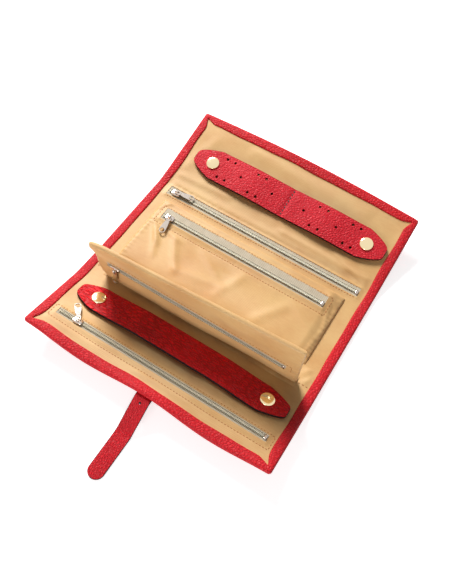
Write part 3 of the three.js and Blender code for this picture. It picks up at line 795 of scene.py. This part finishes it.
coil_filament = filament("drawn nylon filament, grey", coil_light, coil_shade, 0.38)
coil_thread = filament("waxed polyester thread, dark olive", thread_dark, thread_worn, 0.6)
for zip_name, (size, place_on, body) in zips.items():
    first, last = size["left"] + 2, size["right"] - 3.6
    x = np.arange(first, last, coil_pitch / 2)
    way = np.where(np.arange(x.size) % 2 == 0, 1.0, -1.0)
    middle_up = (coil_low + coil_high) / 2
    start = place_on(x, -way * coil_lap, middle_up + 0 * x)
    end = place_on(x, way * coil_reach, middle_up + 0 * x)
    along, over, out = steps_of(place_on, x, 0 * x, middle_up + 0 * x)
    turn_width = coil_wide if zip_name in ("base", "pouch") else coil_slim
    points, quads, caps = capsules(start, end, along, out, turn_width, (coil_high - coil_low) / 2)
    coil = add_mesh(zip_name + "_coil", points, [quads, caps], 80, coil_filament)
    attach(coil, body)
    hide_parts(zip_name + "_zip_coil")
    run_x = np.arange(size["left"] + 1, size["right"] - 1, thread_pitch)
    both = np.concatenate([run_x, run_x])
    side = np.repeat([-thread_side, thread_side], run_x.size)
    start = place_on(both - thread_pitch / 2, side, coil_high + 0.02)
    end = place_on(both + thread_pitch / 2, side, coil_high + 0.02)
    along, over, out = steps_of(place_on, both, side, coil_high)
    points, quads, caps = capsules(start, end, over, out, *thread_size)
    thread = add_mesh(zip_name + "_coil_thread", points, [quads, caps], 80, coil_thread)
    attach(thread, body)

# The zip stops, sliders and pulls
# Die-cast zinc with a polished nickel plate. The stop is a folded block, the slider a channel over the coil
# with a wire arch on top, and the pull a flat tab with a window round the arch and a round hole.
nickel = "#C9BDB3"
slider_half_length = 4.5
slider_inside = 2.3
slider_outside = 3.4
slider_floor = 1.0
slider_roof = 3.2
slider_wall = 0.75
arch_rise = 6.0
arch_reach = 1.65
arch_wire = (0.38, 0.68)
pull_pivot = 4.2
pull_length = 20.0
pull_thick = 0.9
pull_hole = 2.2
pull_end = 3.3
pull_taper = 0.7
pull_neck = 11.6
stop_half = (1.3, 2.6, 0.65)
stop_inset, stop_up = 1.9, 1.4


def plated_metal(name, colour, rough):
    """Plated metal, polished and then handled: marks of 2 mm change its roughness in patches and spread
    its highlights."""
    made, tree, shader, place = start_material(name, Metallic=1.0, Base_Color=colour)
    marks = add_node(tree, "TexNoise", {"Vector": place, "Scale": 420, "Detail": 4})
    spread = add_node(tree, "MapRange", {"Value": marks, "To Min": rough * 0.75, "To Max": rough * 1.35})
    bump = add_node(tree, "Bump", {"Height": marks, "Strength": 0.06, "Distance": 0.0002})
    feed(shader, {"Roughness": spread, "Normal": bump})
    return made


nickel_plate = plated_metal("zinc die casting, polished nickel plate", nickel, 0.14)
# Each slider's place along its zip, the turn and the droop of its pull, and the bodies of both.
hardware = {
    "near": (-86.0, 130.0, 4.97, "near_slider", "near_pull"),
    "page": (-85.0, -90.0, -9.0, "page_slider", "page_pull"),
    "pouch": (-85.8, -84.0, 4.97, "pouch_slider", "pouch_pull"),
    "base": (-100.0, 8.0, 2.49, "base_slider", "base_pull"),
}


def set_at(place_on, x):
    """Puts points given along, across and above a zip at width x into the model's frame, without bending."""
    spot = place_on(x, 0.0, 0.0)
    along, over, out = steps_of(place_on, np.asarray(float(x)), np.asarray(0.0), np.asarray(0.0))
    return lambda p: spot + p[..., :1] * along + p[..., 1:2] * over + p[..., 2:3] * out


def signed_power(v, power):
    """A sine or cosine raised to a power below 1 with its sign kept, which squares a curve off."""
    return np.sign(v) * np.abs(v) ** power


def spun(u, v, height, spin):
    """Points turned by an angle about the upright axis."""
    c, s = math.cos(spin), math.sin(spin)
    return np.stack([u * c - v * s, u * s + v * c, height], -1)


def rounded_block(half, power=5.0, rings=11, around=20):
    """A block with soft edges: a superellipsoid, where each coordinate is a power of a sine or cosine."""
    up = np.linspace(-math.pi / 2, math.pi / 2, rings)[1:-1]
    turn = full_turn(around)
    x, y = signed_power(np.cos(turn), 2 / power), signed_power(np.sin(turn), 2 / power)
    ring, height = signed_power(np.cos(up), 2 / power)[:, None], signed_power(np.sin(up), 2 / power)[:, None]
    points = np.stack([ring * x * half[0], ring * y * half[1], (height + 0 * x) * half[2]], -1)
    faces = [grid_faces(rings - 2, around, across=True), end_faces(around, (rings - 3) * around)]
    return points.reshape(-1, 3), faces


def ring_plate(outer, inner, half, rounding):
    """A flat ring between two loops of the same count: a rounded section carried round between them."""
    loops = []
    across = np.array([0.0, 0.35, 1.0, 1.0, 1.0, 0.35, 0.0, 0.0])
    height = np.array([1.0, 1.0, 1.0, 0.0, -1.0, -1.0, -1.0, 0.0])
    inset = np.array([1.0, 0.0, -1.0, 0.0, -1.0, 0.0, 1.0, 0.0]) * rounding
    way = outer - inner
    for a, h, i in zip(across, height, inset):
        flat = inner + way * a + unit(way) * i
        loops.append(np.concatenate([flat, np.full((len(flat), 1), h * half)], -1))
    points = np.stack(loops)
    return points.reshape(-1, 3), grid_faces(len(across), outer.shape[0], around=True, across=True)


def rounded_loop(half_x, half_y, power, count=40):
    """A closed loop between an ellipse and a box: powers of cosine and sine."""
    turn = full_turn(count)
    x, y = signed_power(np.cos(turn), 2 / power), signed_power(np.sin(turn), 2 / power)
    return np.stack([half_x * x, half_y * y], -1)


def zip_hardware(zip_name):
    """The stop, slider and pull of one zip, each riding on its own body. The stop is a rounded block. The
    slider's channel runs along the zip with an arch of powers of sine and cosine for its section, and its
    wire follows such an arch too. The pull is two flat rings, round its window and its hole."""
    size, place_on, body = zips[zip_name]
    slider_x, turn, droop, slider_body, pull_body = hardware[zip_name]
    points, faces = rounded_block(stop_half)
    at_end = set_at(place_on, size["right"] - stop_inset)
    stop = add_mesh(zip_name + "_stop", at_end(points + (0, 0, stop_up)), faces, 50, nickel_plate)
    along = np.linspace(-1, 1, 13)
    turned = np.linspace(0, math.pi, 21)
    grid_x, wide = np.meshgrid(along, signed_power(np.cos(turned), 0.45), indexing="ij")
    lift = np.sin(turned) ** 0.45 + 0 * grid_x
    ends = np.abs(grid_x) ** 6
    nose = 1 - 0.1 * smooth((grid_x + 0.2) / 1.1) - 0.12 * ends
    length = grid_x * (slider_half_length - 0.5 * np.abs(wide) ** 4)
    outer_lift = (slider_roof - slider_floor) * lift * (1 - 0.1 * ends)
    inner_lift = (slider_roof - slider_wall - slider_floor) * lift
    outer = np.stack([length, wide * slider_outside * nose, slider_floor + outer_lift], -1)
    inner = np.stack([length, wide * slider_inside, slider_floor + inner_lift], -1)
    at_slider = set_at(on_page_plate if zip_name == "page" else place_on, slider_x)
    slider = add_slab(zip_name + "_slider_channel", at_slider(outer), at_slider(inner), 55, nickel_plate)
    spin = math.radians(turn)
    ring = full_turn(10)
    path = np.linspace(0, math.pi, 19)
    reach = signed_power(np.cos(path), 0.5) * arch_reach
    foot = slider_roof - 0.25
    rise = foot + (arch_rise - 0.4 - foot) * np.sin(path) ** 0.6
    tangent = unit(np.stack([np.gradient(reach), np.gradient(rise)], -1))
    wire_out = arch_wire[0] * np.cos(ring)
    wire_side = arch_wire[1] * np.sin(ring)
    arch_u = reach[:, None] - tangent[:, 1:] * wire_out
    arch_h = rise[:, None] + tangent[:, :1] * wire_out
    arch = spun(arch_u, wire_side + 0 * arch_u, arch_h, spin)
    arch_faces = [grid_faces(19, 10, across=True), end_faces(10, 180)]
    bridge = add_mesh(zip_name + "_slider_arch", at_slider(arch), arch_faces, 50, nickel_plate)
    window = rounded_loop(1.5, 1.15, 6) + np.array([1.5, 0])
    root = rounded_loop(3.1, 2.3, 5) + np.array([2.2, 0])
    frame_points, frame_faces = ring_plate(root, window, pull_thick / 2, 0.14)
    centre = np.array([pull_length - pull_end, 0])
    circle = np.stack([np.cos(full_turn(40)), np.sin(full_turn(40))], -1)
    hole = centre + pull_hole * circle
    tab = centre + pull_end * circle
    back = np.clip(-circle[:, 0], 0, 1)
    tab[:, 0] = np.where(back > 0, centre[0] - pull_neck * back ** 0.8, tab[:, 0])
    narrow = pull_end - pull_taper * smooth((centre[0] - tab[:, 0]) / 11)
    tab[:, 1] = np.where(back > 0, narrow * signed_power(circle[:, 1], 0.25), tab[:, 1])
    tab_points, tab_faces = ring_plate(tab, hole, pull_thick / 2 + 0.03, 0.16)
    pull_points = np.concatenate([frame_points, tab_points])
    tilt = math.radians(droop)
    u = pull_points[:, 0] * math.cos(tilt) + pull_points[:, 2] * math.sin(tilt)
    w = pull_points[:, 2] * math.cos(tilt) - pull_points[:, 0] * math.sin(tilt) + pull_pivot
    pull_faces = [frame_faces, tab_faces + len(frame_points)]
    turned_points = at_slider(spun(u, pull_points[:, 1], w, spin))
    pull = add_mesh(zip_name + "_pull_tab", turned_points, pull_faces, 50, nickel_plate)
    for piece, rides, node in ((stop, body, "_zip_stop"), (slider, slider_body, "_zip_slider"),
                               (bridge, slider_body, None), (pull, pull_body, "_zip_pull")):
        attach(piece, rides)
        if node:
            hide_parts(zip_name + node)


for zip_name in zips:
    zip_hardware(zip_name)

# The ring bar
# A bar of thick leather with tapered ends and black painted edges, slightly crowned. It stands a little off
# the lining between its snaps.
strap_low = 0.1
strap_high = 2.5
strap_rounding = 0.4
no_end = 99
ring_bar_place = 57.5
ring_bar_half = 14.5
ring_bar_ends = (-108.5, 111.5)
ring_bar_arch = 3.4
ring_bar_crown = 0.5
bar_light = "#E0111D"
# bar_deep colours the creases of the ring bar's grain, and of the closing strap's, as painted shade set dark
# so that the ridges show, and their darker random patches.
bar_deep = "#7E060B"
edge_black = "#150E0D"
edge_worn = "#2A1614"


def painted_edge():
    """Edge paint on cut leather: a thick black acrylic coat, rubbed nearly smooth, over 1 mm of fibre."""
    made, tree, shader, place = start_material("edge paint on cut leather, black", Roughness=0.7,
                                               Specular_IOR_Level=0.12)
    fibre = add_node(tree, "TexNoise", {"Vector": place, "Scale": 900, "Detail": 3})
    colour = add_node(tree, "MixRGB", {"Fac": fibre, "Color1": edge_black, "Color2": edge_worn})
    bump = add_node(tree, "Bump", {"Height": fibre, "Strength": 0.3, "Distance": 0.0001})
    feed(shader, {"Base Color": colour, "Normal": bump})
    return made


bar_leather = pebbled_leather("pebbled cowhide, dyed deep red", bar_light, bar_deep, 2.3, (0.28, 1, 1),
                              0.0011)
edge_paint = painted_edge()
end_marks = np.array([0, 0.15, 0.4, 0.8, 1.4, 2.2, 3.2, 4.5, 6.0, 8.0, 10.5, 13.0, 16.0, 19.0, 22.0])
side_steps = np.array([0, 0.12, 0.35, 0.7, 1.2, 2.2])


def add_strap(name, place_on, x, half, leather, low, high, crown, cut=(False, False)):
    """A leather strap: at each place along it a half width, a top crowned as 1 - t^2 across it, with
    quarter circles for edges, and a flat underside. Its walls and rim are painted, except where it is cut
    off to meet its next length."""
    rim = 1 - side_steps / half.max()
    across = np.concatenate([-rim, np.linspace(-rim[-1], rim[-1], 15)[1:-1], rim[::-1]])
    grid_x, t = np.meshgrid(x, across, indexing="ij")
    wide = half[:, None] + 0 * t
    ends = np.minimum(no_end if cut[0] else grid_x - x[0], no_end if cut[1] else x[-1] - grid_x)
    edge = np.minimum(wide * (1 - np.abs(t)), ends)
    gap = np.clip(strap_rounding - edge, 0, strap_rounding)
    drop = strap_rounding - np.sqrt(strap_rounding ** 2 - gap ** 2)
    top = place_on(grid_x, t * wide, high + crown * (1 - t ** 2) - drop)
    bottom = place_on(grid_x, t * wide, low + 0.5 * drop)
    made = add_slab(name, top, bottom, 50, leather)
    made.data.materials.append(edge_paint)
    n, m = grid_x.shape
    painted = np.zeros(len(made.data.polygons), int)
    painted[2 * (n - 1) * (m - 1):] = 1
    rows = painted[:(n - 1) * (m - 1)].reshape(n - 1, m - 1)
    rows[:, :2] = rows[:, -2:] = 1
    if not cut[0]:
        rows[:2] = 1
    if not cut[1]:
        rows[-2:] = 1
    made.data.polygons.foreach_set("material_index", painted)
    return made


def tapered_end(d, half, taper=24.0, nose=5.6, corner=2.6, shoulder=(5.0, 0.68)):
    """Half the width of a strap at distance d from a tapered end: a quadratic curve from its full width,
    drawn towards one shoulder, to its blunt nose, less a quarter circle at the nose's corners."""
    t = np.linspace(0, 1, 60)
    places = taper * (1 - t) ** 2 + 2 * shoulder[0] * t * (1 - t)
    widths = half * (1 - t) ** 2 + 2 * shoulder[1] * half * t * (1 - t) + nose * t ** 2
    cut = corner - np.sqrt(corner ** 2 - np.clip(corner - d, 0, corner) ** 2)
    return np.interp(d, places[::-1], widths[::-1]) - cut


def on_bar(x, across, h):
    """The place of the ring bar, which rises by one smoothstep past its left snap and falls by another
    before its right one."""
    rise = ring_bar_arch * smooth((x + 84) / 50) * smooth((87 - x) / 50)
    return on_cover(x, ring_bar_place + across, h + rise)


first, last = ring_bar_ends
bar_x = clustered([first, last], np.concatenate([first + end_marks, last - end_marks]), 3)
bar_half = np.minimum(tapered_end(bar_x - first, ring_bar_half, 20), tapered_end(last - bar_x, ring_bar_half))
ring_bar = add_strap("ring_bar_strap", on_bar, bar_x, bar_half, bar_leather, strap_low, strap_high,
                     ring_bar_crown)
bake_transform(ring_bar)
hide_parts("ring_bar_end", "ring_bar")

# The snap caps and studs
# Pressed brass caps with a polished gold plate: a shallow dome with a rolled rim. Each is riveted through
# its strap and clips over a short stud that stands on the lining.
cap_radius = 6.75
cap_bottom = 2.6
cap_rise = 2.2
cap_axis = 0.4
stud_radius, stud_depth = 4.0, 1.0
cap_gold = "#F1DDB2"


def turned(name, profile, at, around=56):
    """A turned piece: a profile of radius and height carried round an axis, closed on the axis."""
    turn = full_turn(around)
    radius, height = profile[:, :1], profile[:, 1:]
    points = np.stack([radius * np.cos(turn), radius * np.sin(turn), height + 0 * turn], -1)
    faces = [grid_faces(len(profile), around, across=True), end_faces(around, (len(profile) - 1) * around)]
    return add_mesh(name, at(points.reshape(-1, 3)), faces, 55, cap_plate)


def snap(name, x, s, cap_body, stud_body):
    """A cap on its strap and the stud under it, at that place on the cover: turned profiles, the dome's
    with powers of a sine for its radius and of a cosine for its height."""
    at = set_at(lambda u, across, h: on_cover(u, s + across, h), x)
    t = np.linspace(0, 1, 16)[1:]
    dome = np.stack([cap_radius * np.sin(t * math.pi / 2) ** 0.8,
                     cap_bottom + 0.55 + (cap_rise - 0.55) * np.cos(t * math.pi / 2) ** 0.62], -1)
    rim = np.array([[6.72, cap_bottom + 0.3], [6.5, cap_bottom + 0.08], [6.1, cap_bottom],
                    [cap_axis, cap_bottom]])
    cap = turned(name + "_snap_cap", np.concatenate([[[0.35, cap_bottom + cap_rise]], dome, rim])[::-1], at)
    below = np.array([[cap_axis, -stud_depth], [stud_radius, -stud_depth], [stud_radius, 0], [cap_axis, 0]])
    stud = turned(name + "_snap_stud", below, at, 32)
    for piece, body, node in ((cap, cap_body, name + "_cap"), (stud, stud_body, name + "_stud")):
        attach(piece, body)
        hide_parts(node)


cap_plate = plated_metal("pressed brass, polished gold plate", cap_gold, 0.13)
snap("ring_bar_left", -87.5, ring_bar_place, "near_panel", "near_panel")
snap("ring_bar_right", 90.5, ring_bar_place, "ring_bar", "near_panel")
ear_place = 252.3
snap("earring_left", -86, ear_place, "earring_left", "far_panel")
snap("earring_right", 92, ear_place, "earring_right", "far_panel")

# The earring strap
# A wide bar of the same leather, sewn down along its middle, with holes punched for earring posts:
# on each side two single holes and four pairs.
ear_half = 17.0
ear_ends = (-106.5, 112.5)
ear_middle = 3.0
ear_hole = 1.35
ear_arch = 1.6
ear_crown = 0.35
ear_light = "#D0202E"
# ear_deep colours the creases of the strap's grain, as painted shade, and its darker random patches.
ear_deep = "#A5101D"
ear_leather = pebbled_leather("pebbled cowhide, dyed red, strap", ear_light, ear_deep, 1.8, (0.6, 1, 1),
                              0.0004)


def punch(piece, at, places, radius):
    """Cuts round holes through a strap at places given along and across it, gives their walls the strap's
    black edge paint as painted shade inside the holes, and keeps the result.
    """
    t = full_turn(16)
    points, quads, caps = [], [], []
    for k, (x, across) in enumerate(places):
        for height in (-3, 8):
            points.append(at(x + radius * np.cos(t), across + radius * np.sin(t), height + 0 * t))
        quads.append(grid_faces(2, 16, across=True, start=32 * k))
        caps.append(end_faces(16, 16) + 32 * k)
    cutter = add_mesh("punch", np.concatenate(points), [np.concatenate(quads), np.concatenate(caps)], 50)
    # The cutter's faces take the piece's second material, the black edge paint, so the hole walls are painted
    # dark as painted shade.
    for surface in piece.data.materials:
        cutter.data.materials.append(surface)
    cutter.data.polygons.foreach_set("material_index", np.ones(len(cutter.data.polygons), int))
    cut = piece.modifiers.new("punched", "BOOLEAN")
    cut.operation = "DIFFERENCE"
    cut.solver = "EXACT"
    cut.object = cutter
    shown = piece.evaluated_get(bpy.context.evaluated_depsgraph_get())
    punched = bpy.data.meshes.new_from_object(shown)
    piece.modifiers.clear()
    piece.data = punched
    bpy.data.objects.remove(cutter)


def ear_shape(x, across, h):
    """The place of the earring strap, each half of which rises by a squared sine between its seam and its
    snap, with a bell-shaped dip at the seam."""
    share = np.clip((np.abs(x - ear_middle) - 5) / 76, 0, 1)
    dip = 0.7 * bell((x - ear_middle) / 2.6)
    return on_cover(x, ear_place + across, h + ear_arch * np.sin(math.pi * share) ** 2 - dip)


pairs = [(d, side * 11.3) for d in (31, 40.5, 68.3, 77.25) for side in (-1, 1)]
for way, side_name in ((-1, "left"), (1, "right")):
    end = ear_ends[0] if way < 0 else ear_ends[1]
    x = clustered(sorted([ear_middle, end]), np.append(end - way * end_marks, ear_middle + way * 8), 1.2)
    half = tapered_end(np.abs(end - x), ear_half)
    strap = add_strap("earring_" + side_name + "_strap", ear_shape, x, half, ear_leather, strap_low,
                      strap_high, ear_crown, (way > 0, way < 0))
    holes = [(ear_middle + way * d, across) for d, across in [(18.3, 0), (55, 0)] + pairs]
    punch(strap, ear_shape, holes, ear_hole)
    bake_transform(strap)
    if way < 0:
        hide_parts("earring_strap_left", "earring_strap_centre")
    else:
        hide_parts("earring_strap_right")

# The closing strap
# A narrow leather strap sewn under the near panel. It comes out past the cover's edge, bends down to the
# table and runs flat to its rounded tip, which is skived thinner past its last bend.
closing_x = 3.0
closing_half = 7.5
closing_thickness = 2.2
closing_points = np.array([(-130.8, 11.8), (-159.3, 18.95), (-161.3, 18.5), (-188.3, 1.7), (-190.2, 1.2),
                           (-233.26, 1.2)])
strap_bend_at = (-160.154, 18.005)
strap_wrap_at = (-188.1, 0.4)
closing_light = "#CB1A26"
closing_holes = (5, 19)
closing_hole = 1.1
closing_skive = 0.5
closing_bend = 3
closing_crown = 0.1
corner_places = np.concatenate([[0], np.cumsum(np.hypot(*np.diff(closing_points, axis=0).T))])
closing_run = np.arange(0, corner_places[-1], 0.25)
reach = np.exp(-np.square(np.arange(-12, 13) / 6.0))
reach /= reach.sum()
closing_line = []
for k in (0, 1):
    line = np.interp(closing_run, corner_places, closing_points[:, k])
    padded = np.concatenate([2 * line[0] - line[12:0:-1], line, 2 * line[-1] - line[-2:-14:-1]])
    closing_line.append(np.convolve(padded, reach, "valid"))
closing_slope = np.arctan2(-np.gradient(closing_line[1]), -np.gradient(closing_line[0]))


def on_strap(along, across, h):
    """The point that far along the closing strap's middle line, across it and above it."""
    along, across, h = np.broadcast_arrays(*[np.asarray(a, float) for a in (along, across, h)])
    slope = np.interp(along, closing_run, closing_slope)
    y = np.interp(along, closing_run, closing_line[0]) + h * np.sin(slope)
    z = np.interp(along, closing_run, closing_line[1]) + h * np.cos(slope)
    return np.stack([closing_x + across, y, z], -1)


def nearest(place):
    """How far along the closing strap its line passes nearest to a place."""
    return closing_run[np.argmin(np.hypot(closing_line[0] - place[0], closing_line[1] - place[1]))]


bend_run, wrap_run = nearest(strap_bend_at), nearest(strap_wrap_at)
join_run = bend_run + 12
strap_leather = pebbled_leather("pebbled cowhide, dyed red, closing strap", closing_light, bar_deep, 1.5,
                                (1, 0.6, 1))
full = closing_run[-1]
half_thick = closing_thickness / 2
root_x = clustered([0, join_run], [bend_run - closing_bend, bend_run + closing_bend], 0.8)
root_strap = add_strap("closing_strap_root", on_strap, root_x, closing_half + 0 * root_x, strap_leather,
                       -half_thick, half_thick, closing_crown, (False, True))
tip_x = clustered([join_run, full], np.concatenate([full - end_marks, [wrap_run]]), 0.8)
from_round = np.clip(closing_half - np.maximum(full - tip_x, 0.06), 0, closing_half)
round_tip = np.sqrt(closing_half ** 2 - from_round ** 2)
skived = half_thick - closing_skive * smooth((tip_x - wrap_run + 4) / 8)[:, None]
tip_strap = add_strap("closing_strap_tip", on_strap, tip_x, round_tip, strap_leather, -half_thick, skived,
                      closing_crown, (True, False))
punch(root_strap, on_strap, [(bend_run + closing_holes[0], 0)], closing_hole)
punch(tip_strap, on_strap, [(bend_run + closing_holes[1], 0)], closing_hole)
for strap, bodies, run in ((root_strap, ("near_panel", "strap_inner"), bend_run),
                           (tip_strap, ("strap_inner", "strap_outer"), wrap_run)):
    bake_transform(strap)
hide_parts("strap_anchor", "strap_inner")
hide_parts("strap_outer", "strap_magnet")

# The stitching
# Polyester thread, lockstitched at 3 mm: tan round the zips and at both ends of the page's seam, and
# dark red across the middle of the earring strap. Each stitch is a small capsule sunk in the cloth.
stitch_pitch = 3.0
stitch_length = 2.1
thread_lift = 0.05
thread_tan = filament("twisted polyester thread, tan", "#8A4A1C", "#C98A4C", 0.6)
thread_red = filament("twisted polyester thread, dark red", "#1E0305", "#3E0508", 0.6)


def stitch_row(place_on, height, a, b, turn=0.0, pitch=stitch_pitch, length=stitch_length):
    """The ends and directions of stitches from a to b on a surface, each turned from the row by an angle."""
    run = math.hypot(b[0] - a[0], b[1] - a[1])
    count = max(1, int(run / pitch))
    t = (np.arange(count) + 0.5) / count
    x, across = a[0] + (b[0] - a[0]) * t, a[1] + (b[1] - a[1]) * t
    angle = math.atan2(b[1] - a[1], b[0] - a[0]) + math.radians(turn)
    dx, da = math.cos(angle) * length / 2, math.sin(angle) * length / 2
    start = place_on(x - dx, across - da, height(x - dx, across - da))
    end = place_on(x + dx, across + da, height(x + dx, across + da))
    out = steps_of(place_on, x, across, height(x, across))[2]
    return start, end, np.cross(out, unit(end - start)), out


def add_stitches(name, rows, thread, body, wide=0.46, high=0.32):
    """One mesh of all the stitches in these rows, riding on a body."""
    start, end, side, out = [np.concatenate(part) for part in zip(*rows)]
    points, quads, caps = capsules(start, end, side, out, wide, high, 4, 6)
    made = add_mesh(name, points, [quads, caps], 80, thread)
    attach(made, body)


def lining_up(zip_size):
    """The lining's height at a place given from a zip on it."""
    return lambda x, across: lining_rise(x, zip_size["s"] + across) + thread_lift


def round_zip(place_on, height, size, near, far, before, beyond):
    """Four rows of stitches round a zip, at those distances from its two sides and its two ends."""
    low, high = -size["near"] - near, size["far"] + far
    left, right = size["left"] - before, size["right"] + beyond
    corners = [(left, low), (right, low), (right, high), (left, high), (left, low)]
    return [stitch_row(place_on, height, a, b) for a, b in zip(corners, corners[1:])]


near_zip_rows = round_zip(on_lining(near_zip), lining_up(near_zip), near_zip, 4.6, 1.2, 5.0, 5.0)
add_stitches("near_zip_stitches", near_zip_rows, thread_tan, "near_panel")
pouch_up = lambda x, across: pouch_rise(x, pouch_zip["s"] + across) - pouch_top + thread_lift
pouch_zip_rows = round_zip(on_pouch, pouch_up, pouch_zip, 5.8, 1.2, 4.0, 4.5)
add_stitches("pouch_zip_stitches", pouch_zip_rows, thread_tan, "middle")
far_row = base_zip["far"] - 0.3
tape_up = lambda x, across: 0 * x + tape_high + thread_lift
ticks = stitch_row(on_lining(base_zip), tape_up, (-96, far_row), (106, far_row), turn=72, length=1.3)
near_row = stitch_row(on_lining(base_zip), lining_up(base_zip), (-108, -6.2), (108, -6.2))
add_stitches("base_zip_stitches", [ticks, near_row], thread_tan, "middle")


def page_up_by(x, across):
    """The height of the page's cloth over its bulge, at a place given from its zip."""
    up = page_zip_height + across
    return page_swell(x, up) - page_bulge(x, up) + thread_lift


corners = [(-88, 6.0), (96, 6.0), (96, -6.0)]
page_rows = [stitch_row(on_page_face, page_up_by, a, b) for a, b in zip(corners, corners[1:])]
add_stitches("page_zip_stitches", page_rows, thread_tan, "page")
seam = {"s": seam_place}
seam_rows = [stitch_row(on_lining(seam), lining_up(seam), (side * 103.6, 0), (side * 115, 0))
             for side in (-1, 1)]
add_stitches("page_seam_stitches", seam_rows, thread_tan, "near_spine")
ear_top = lambda x, across: strap_high + 0.3 - ear_crown * (across / ear_half) ** 2 + 0 * x
ear_rows = [stitch_row(ear_shape, ear_top, (ear_middle, -15.6), (ear_middle, 15.6), turn=24, pitch=3.7,
                       length=2.6)]
add_stitches("earring_strap_stitches", ear_rows, thread_red, "far_panel", wide=0.75, high=0.42)

# The table, lamps and camera
# A pale table that shows nearly white and keeps the shadow, a large soft lamp beyond the far edge, and a
# weak one in front. The camera is the one that the photograph's perspective gives.
floor_drop = 0.05
floor_reach = 3000
floor_glow = 0.7


def shown_rays(tree):
    """A value of 1 for rays that the camera, a mirror or glass sends out, and 0 for all others."""
    rays = add_node(tree, "LightPath", {}).outputs
    shown = rays["Is Camera Ray"]
    for other in ("Is Glossy Ray", "Is Transmission Ray"):
        shown = add_node(tree, "Math", {0: shown, 1: rays[other]}, operation="MAXIMUM").outputs[0]
    return shown


pale, tree, shader, place = start_material("painted table top, white", Roughness=0.9, Base_Color="#F2F2F2",
                                           Specular_IOR_Level=0.0, Emission_Color=(1, 1, 1, 1))
lift = add_node(tree, "Math", {0: shown_rays(tree), 1: floor_glow}, operation="MULTIPLY")
feed(shader, {"Emission Strength": lift})
corners = np.array([(-1, -1, 0), (1, -1, 0), (1, 1, 0), (-1, 1, 0)]) * floor_reach - (0, 0, floor_drop)
floor = add_mesh("table", corners, [np.array([[0, 1, 2, 3]])], 40, pale)

world = bpy.data.worlds.new("studio")
bpy.context.scene.world = world
world.use_nodes = True
tree = world.node_tree
strength = add_node(tree, "MapRange", {"Value": shown_rays(tree), "To Min": 0.15, "To Max": 1.0})
feed(tree.nodes["Background"], {"Strength": strength, "Color": (1, 1, 1, 1)})


def add_lamp(name, place, power, size):
    """A square area lamp that faces the object's middle."""
    lamp = bpy.data.lights.new(name, "AREA")
    lamp.energy = power
    lamp.size = size
    made = bpy.data.objects.new(name, lamp)
    made.location = place
    made.rotation_euler = (-Vector(place)).to_track_quat("-Z", "Y").to_euler()
    bpy.context.scene.collection.objects.link(made)


add_lamp("key lamp", (-1.1, 0.85, 1.1), 56.0, 0.6)
add_lamp("fill lamp", (0.1, -1.3, 0.28), 11.0, 0.6)

camera = bpy.data.objects.new("camera", bpy.data.cameras.new("camera"))
camera.data.sensor_width = 36
camera.data.lens = 41.47
camera.data.clip_start = 0.01
camera.data.clip_end = 20
view_axes = Matrix(((0.84833, -0.48520, 0.21194), (0.52479, 0.71742, -0.45816), (0.07025, 0.49989, 0.86323)))
camera.matrix_world = Matrix.Translation((0.13772, -0.31687, 0.5526)) @ view_axes.to_4x4()
bpy.context.scene.collection.objects.link(camera)
bpy.context.scene.camera = camera
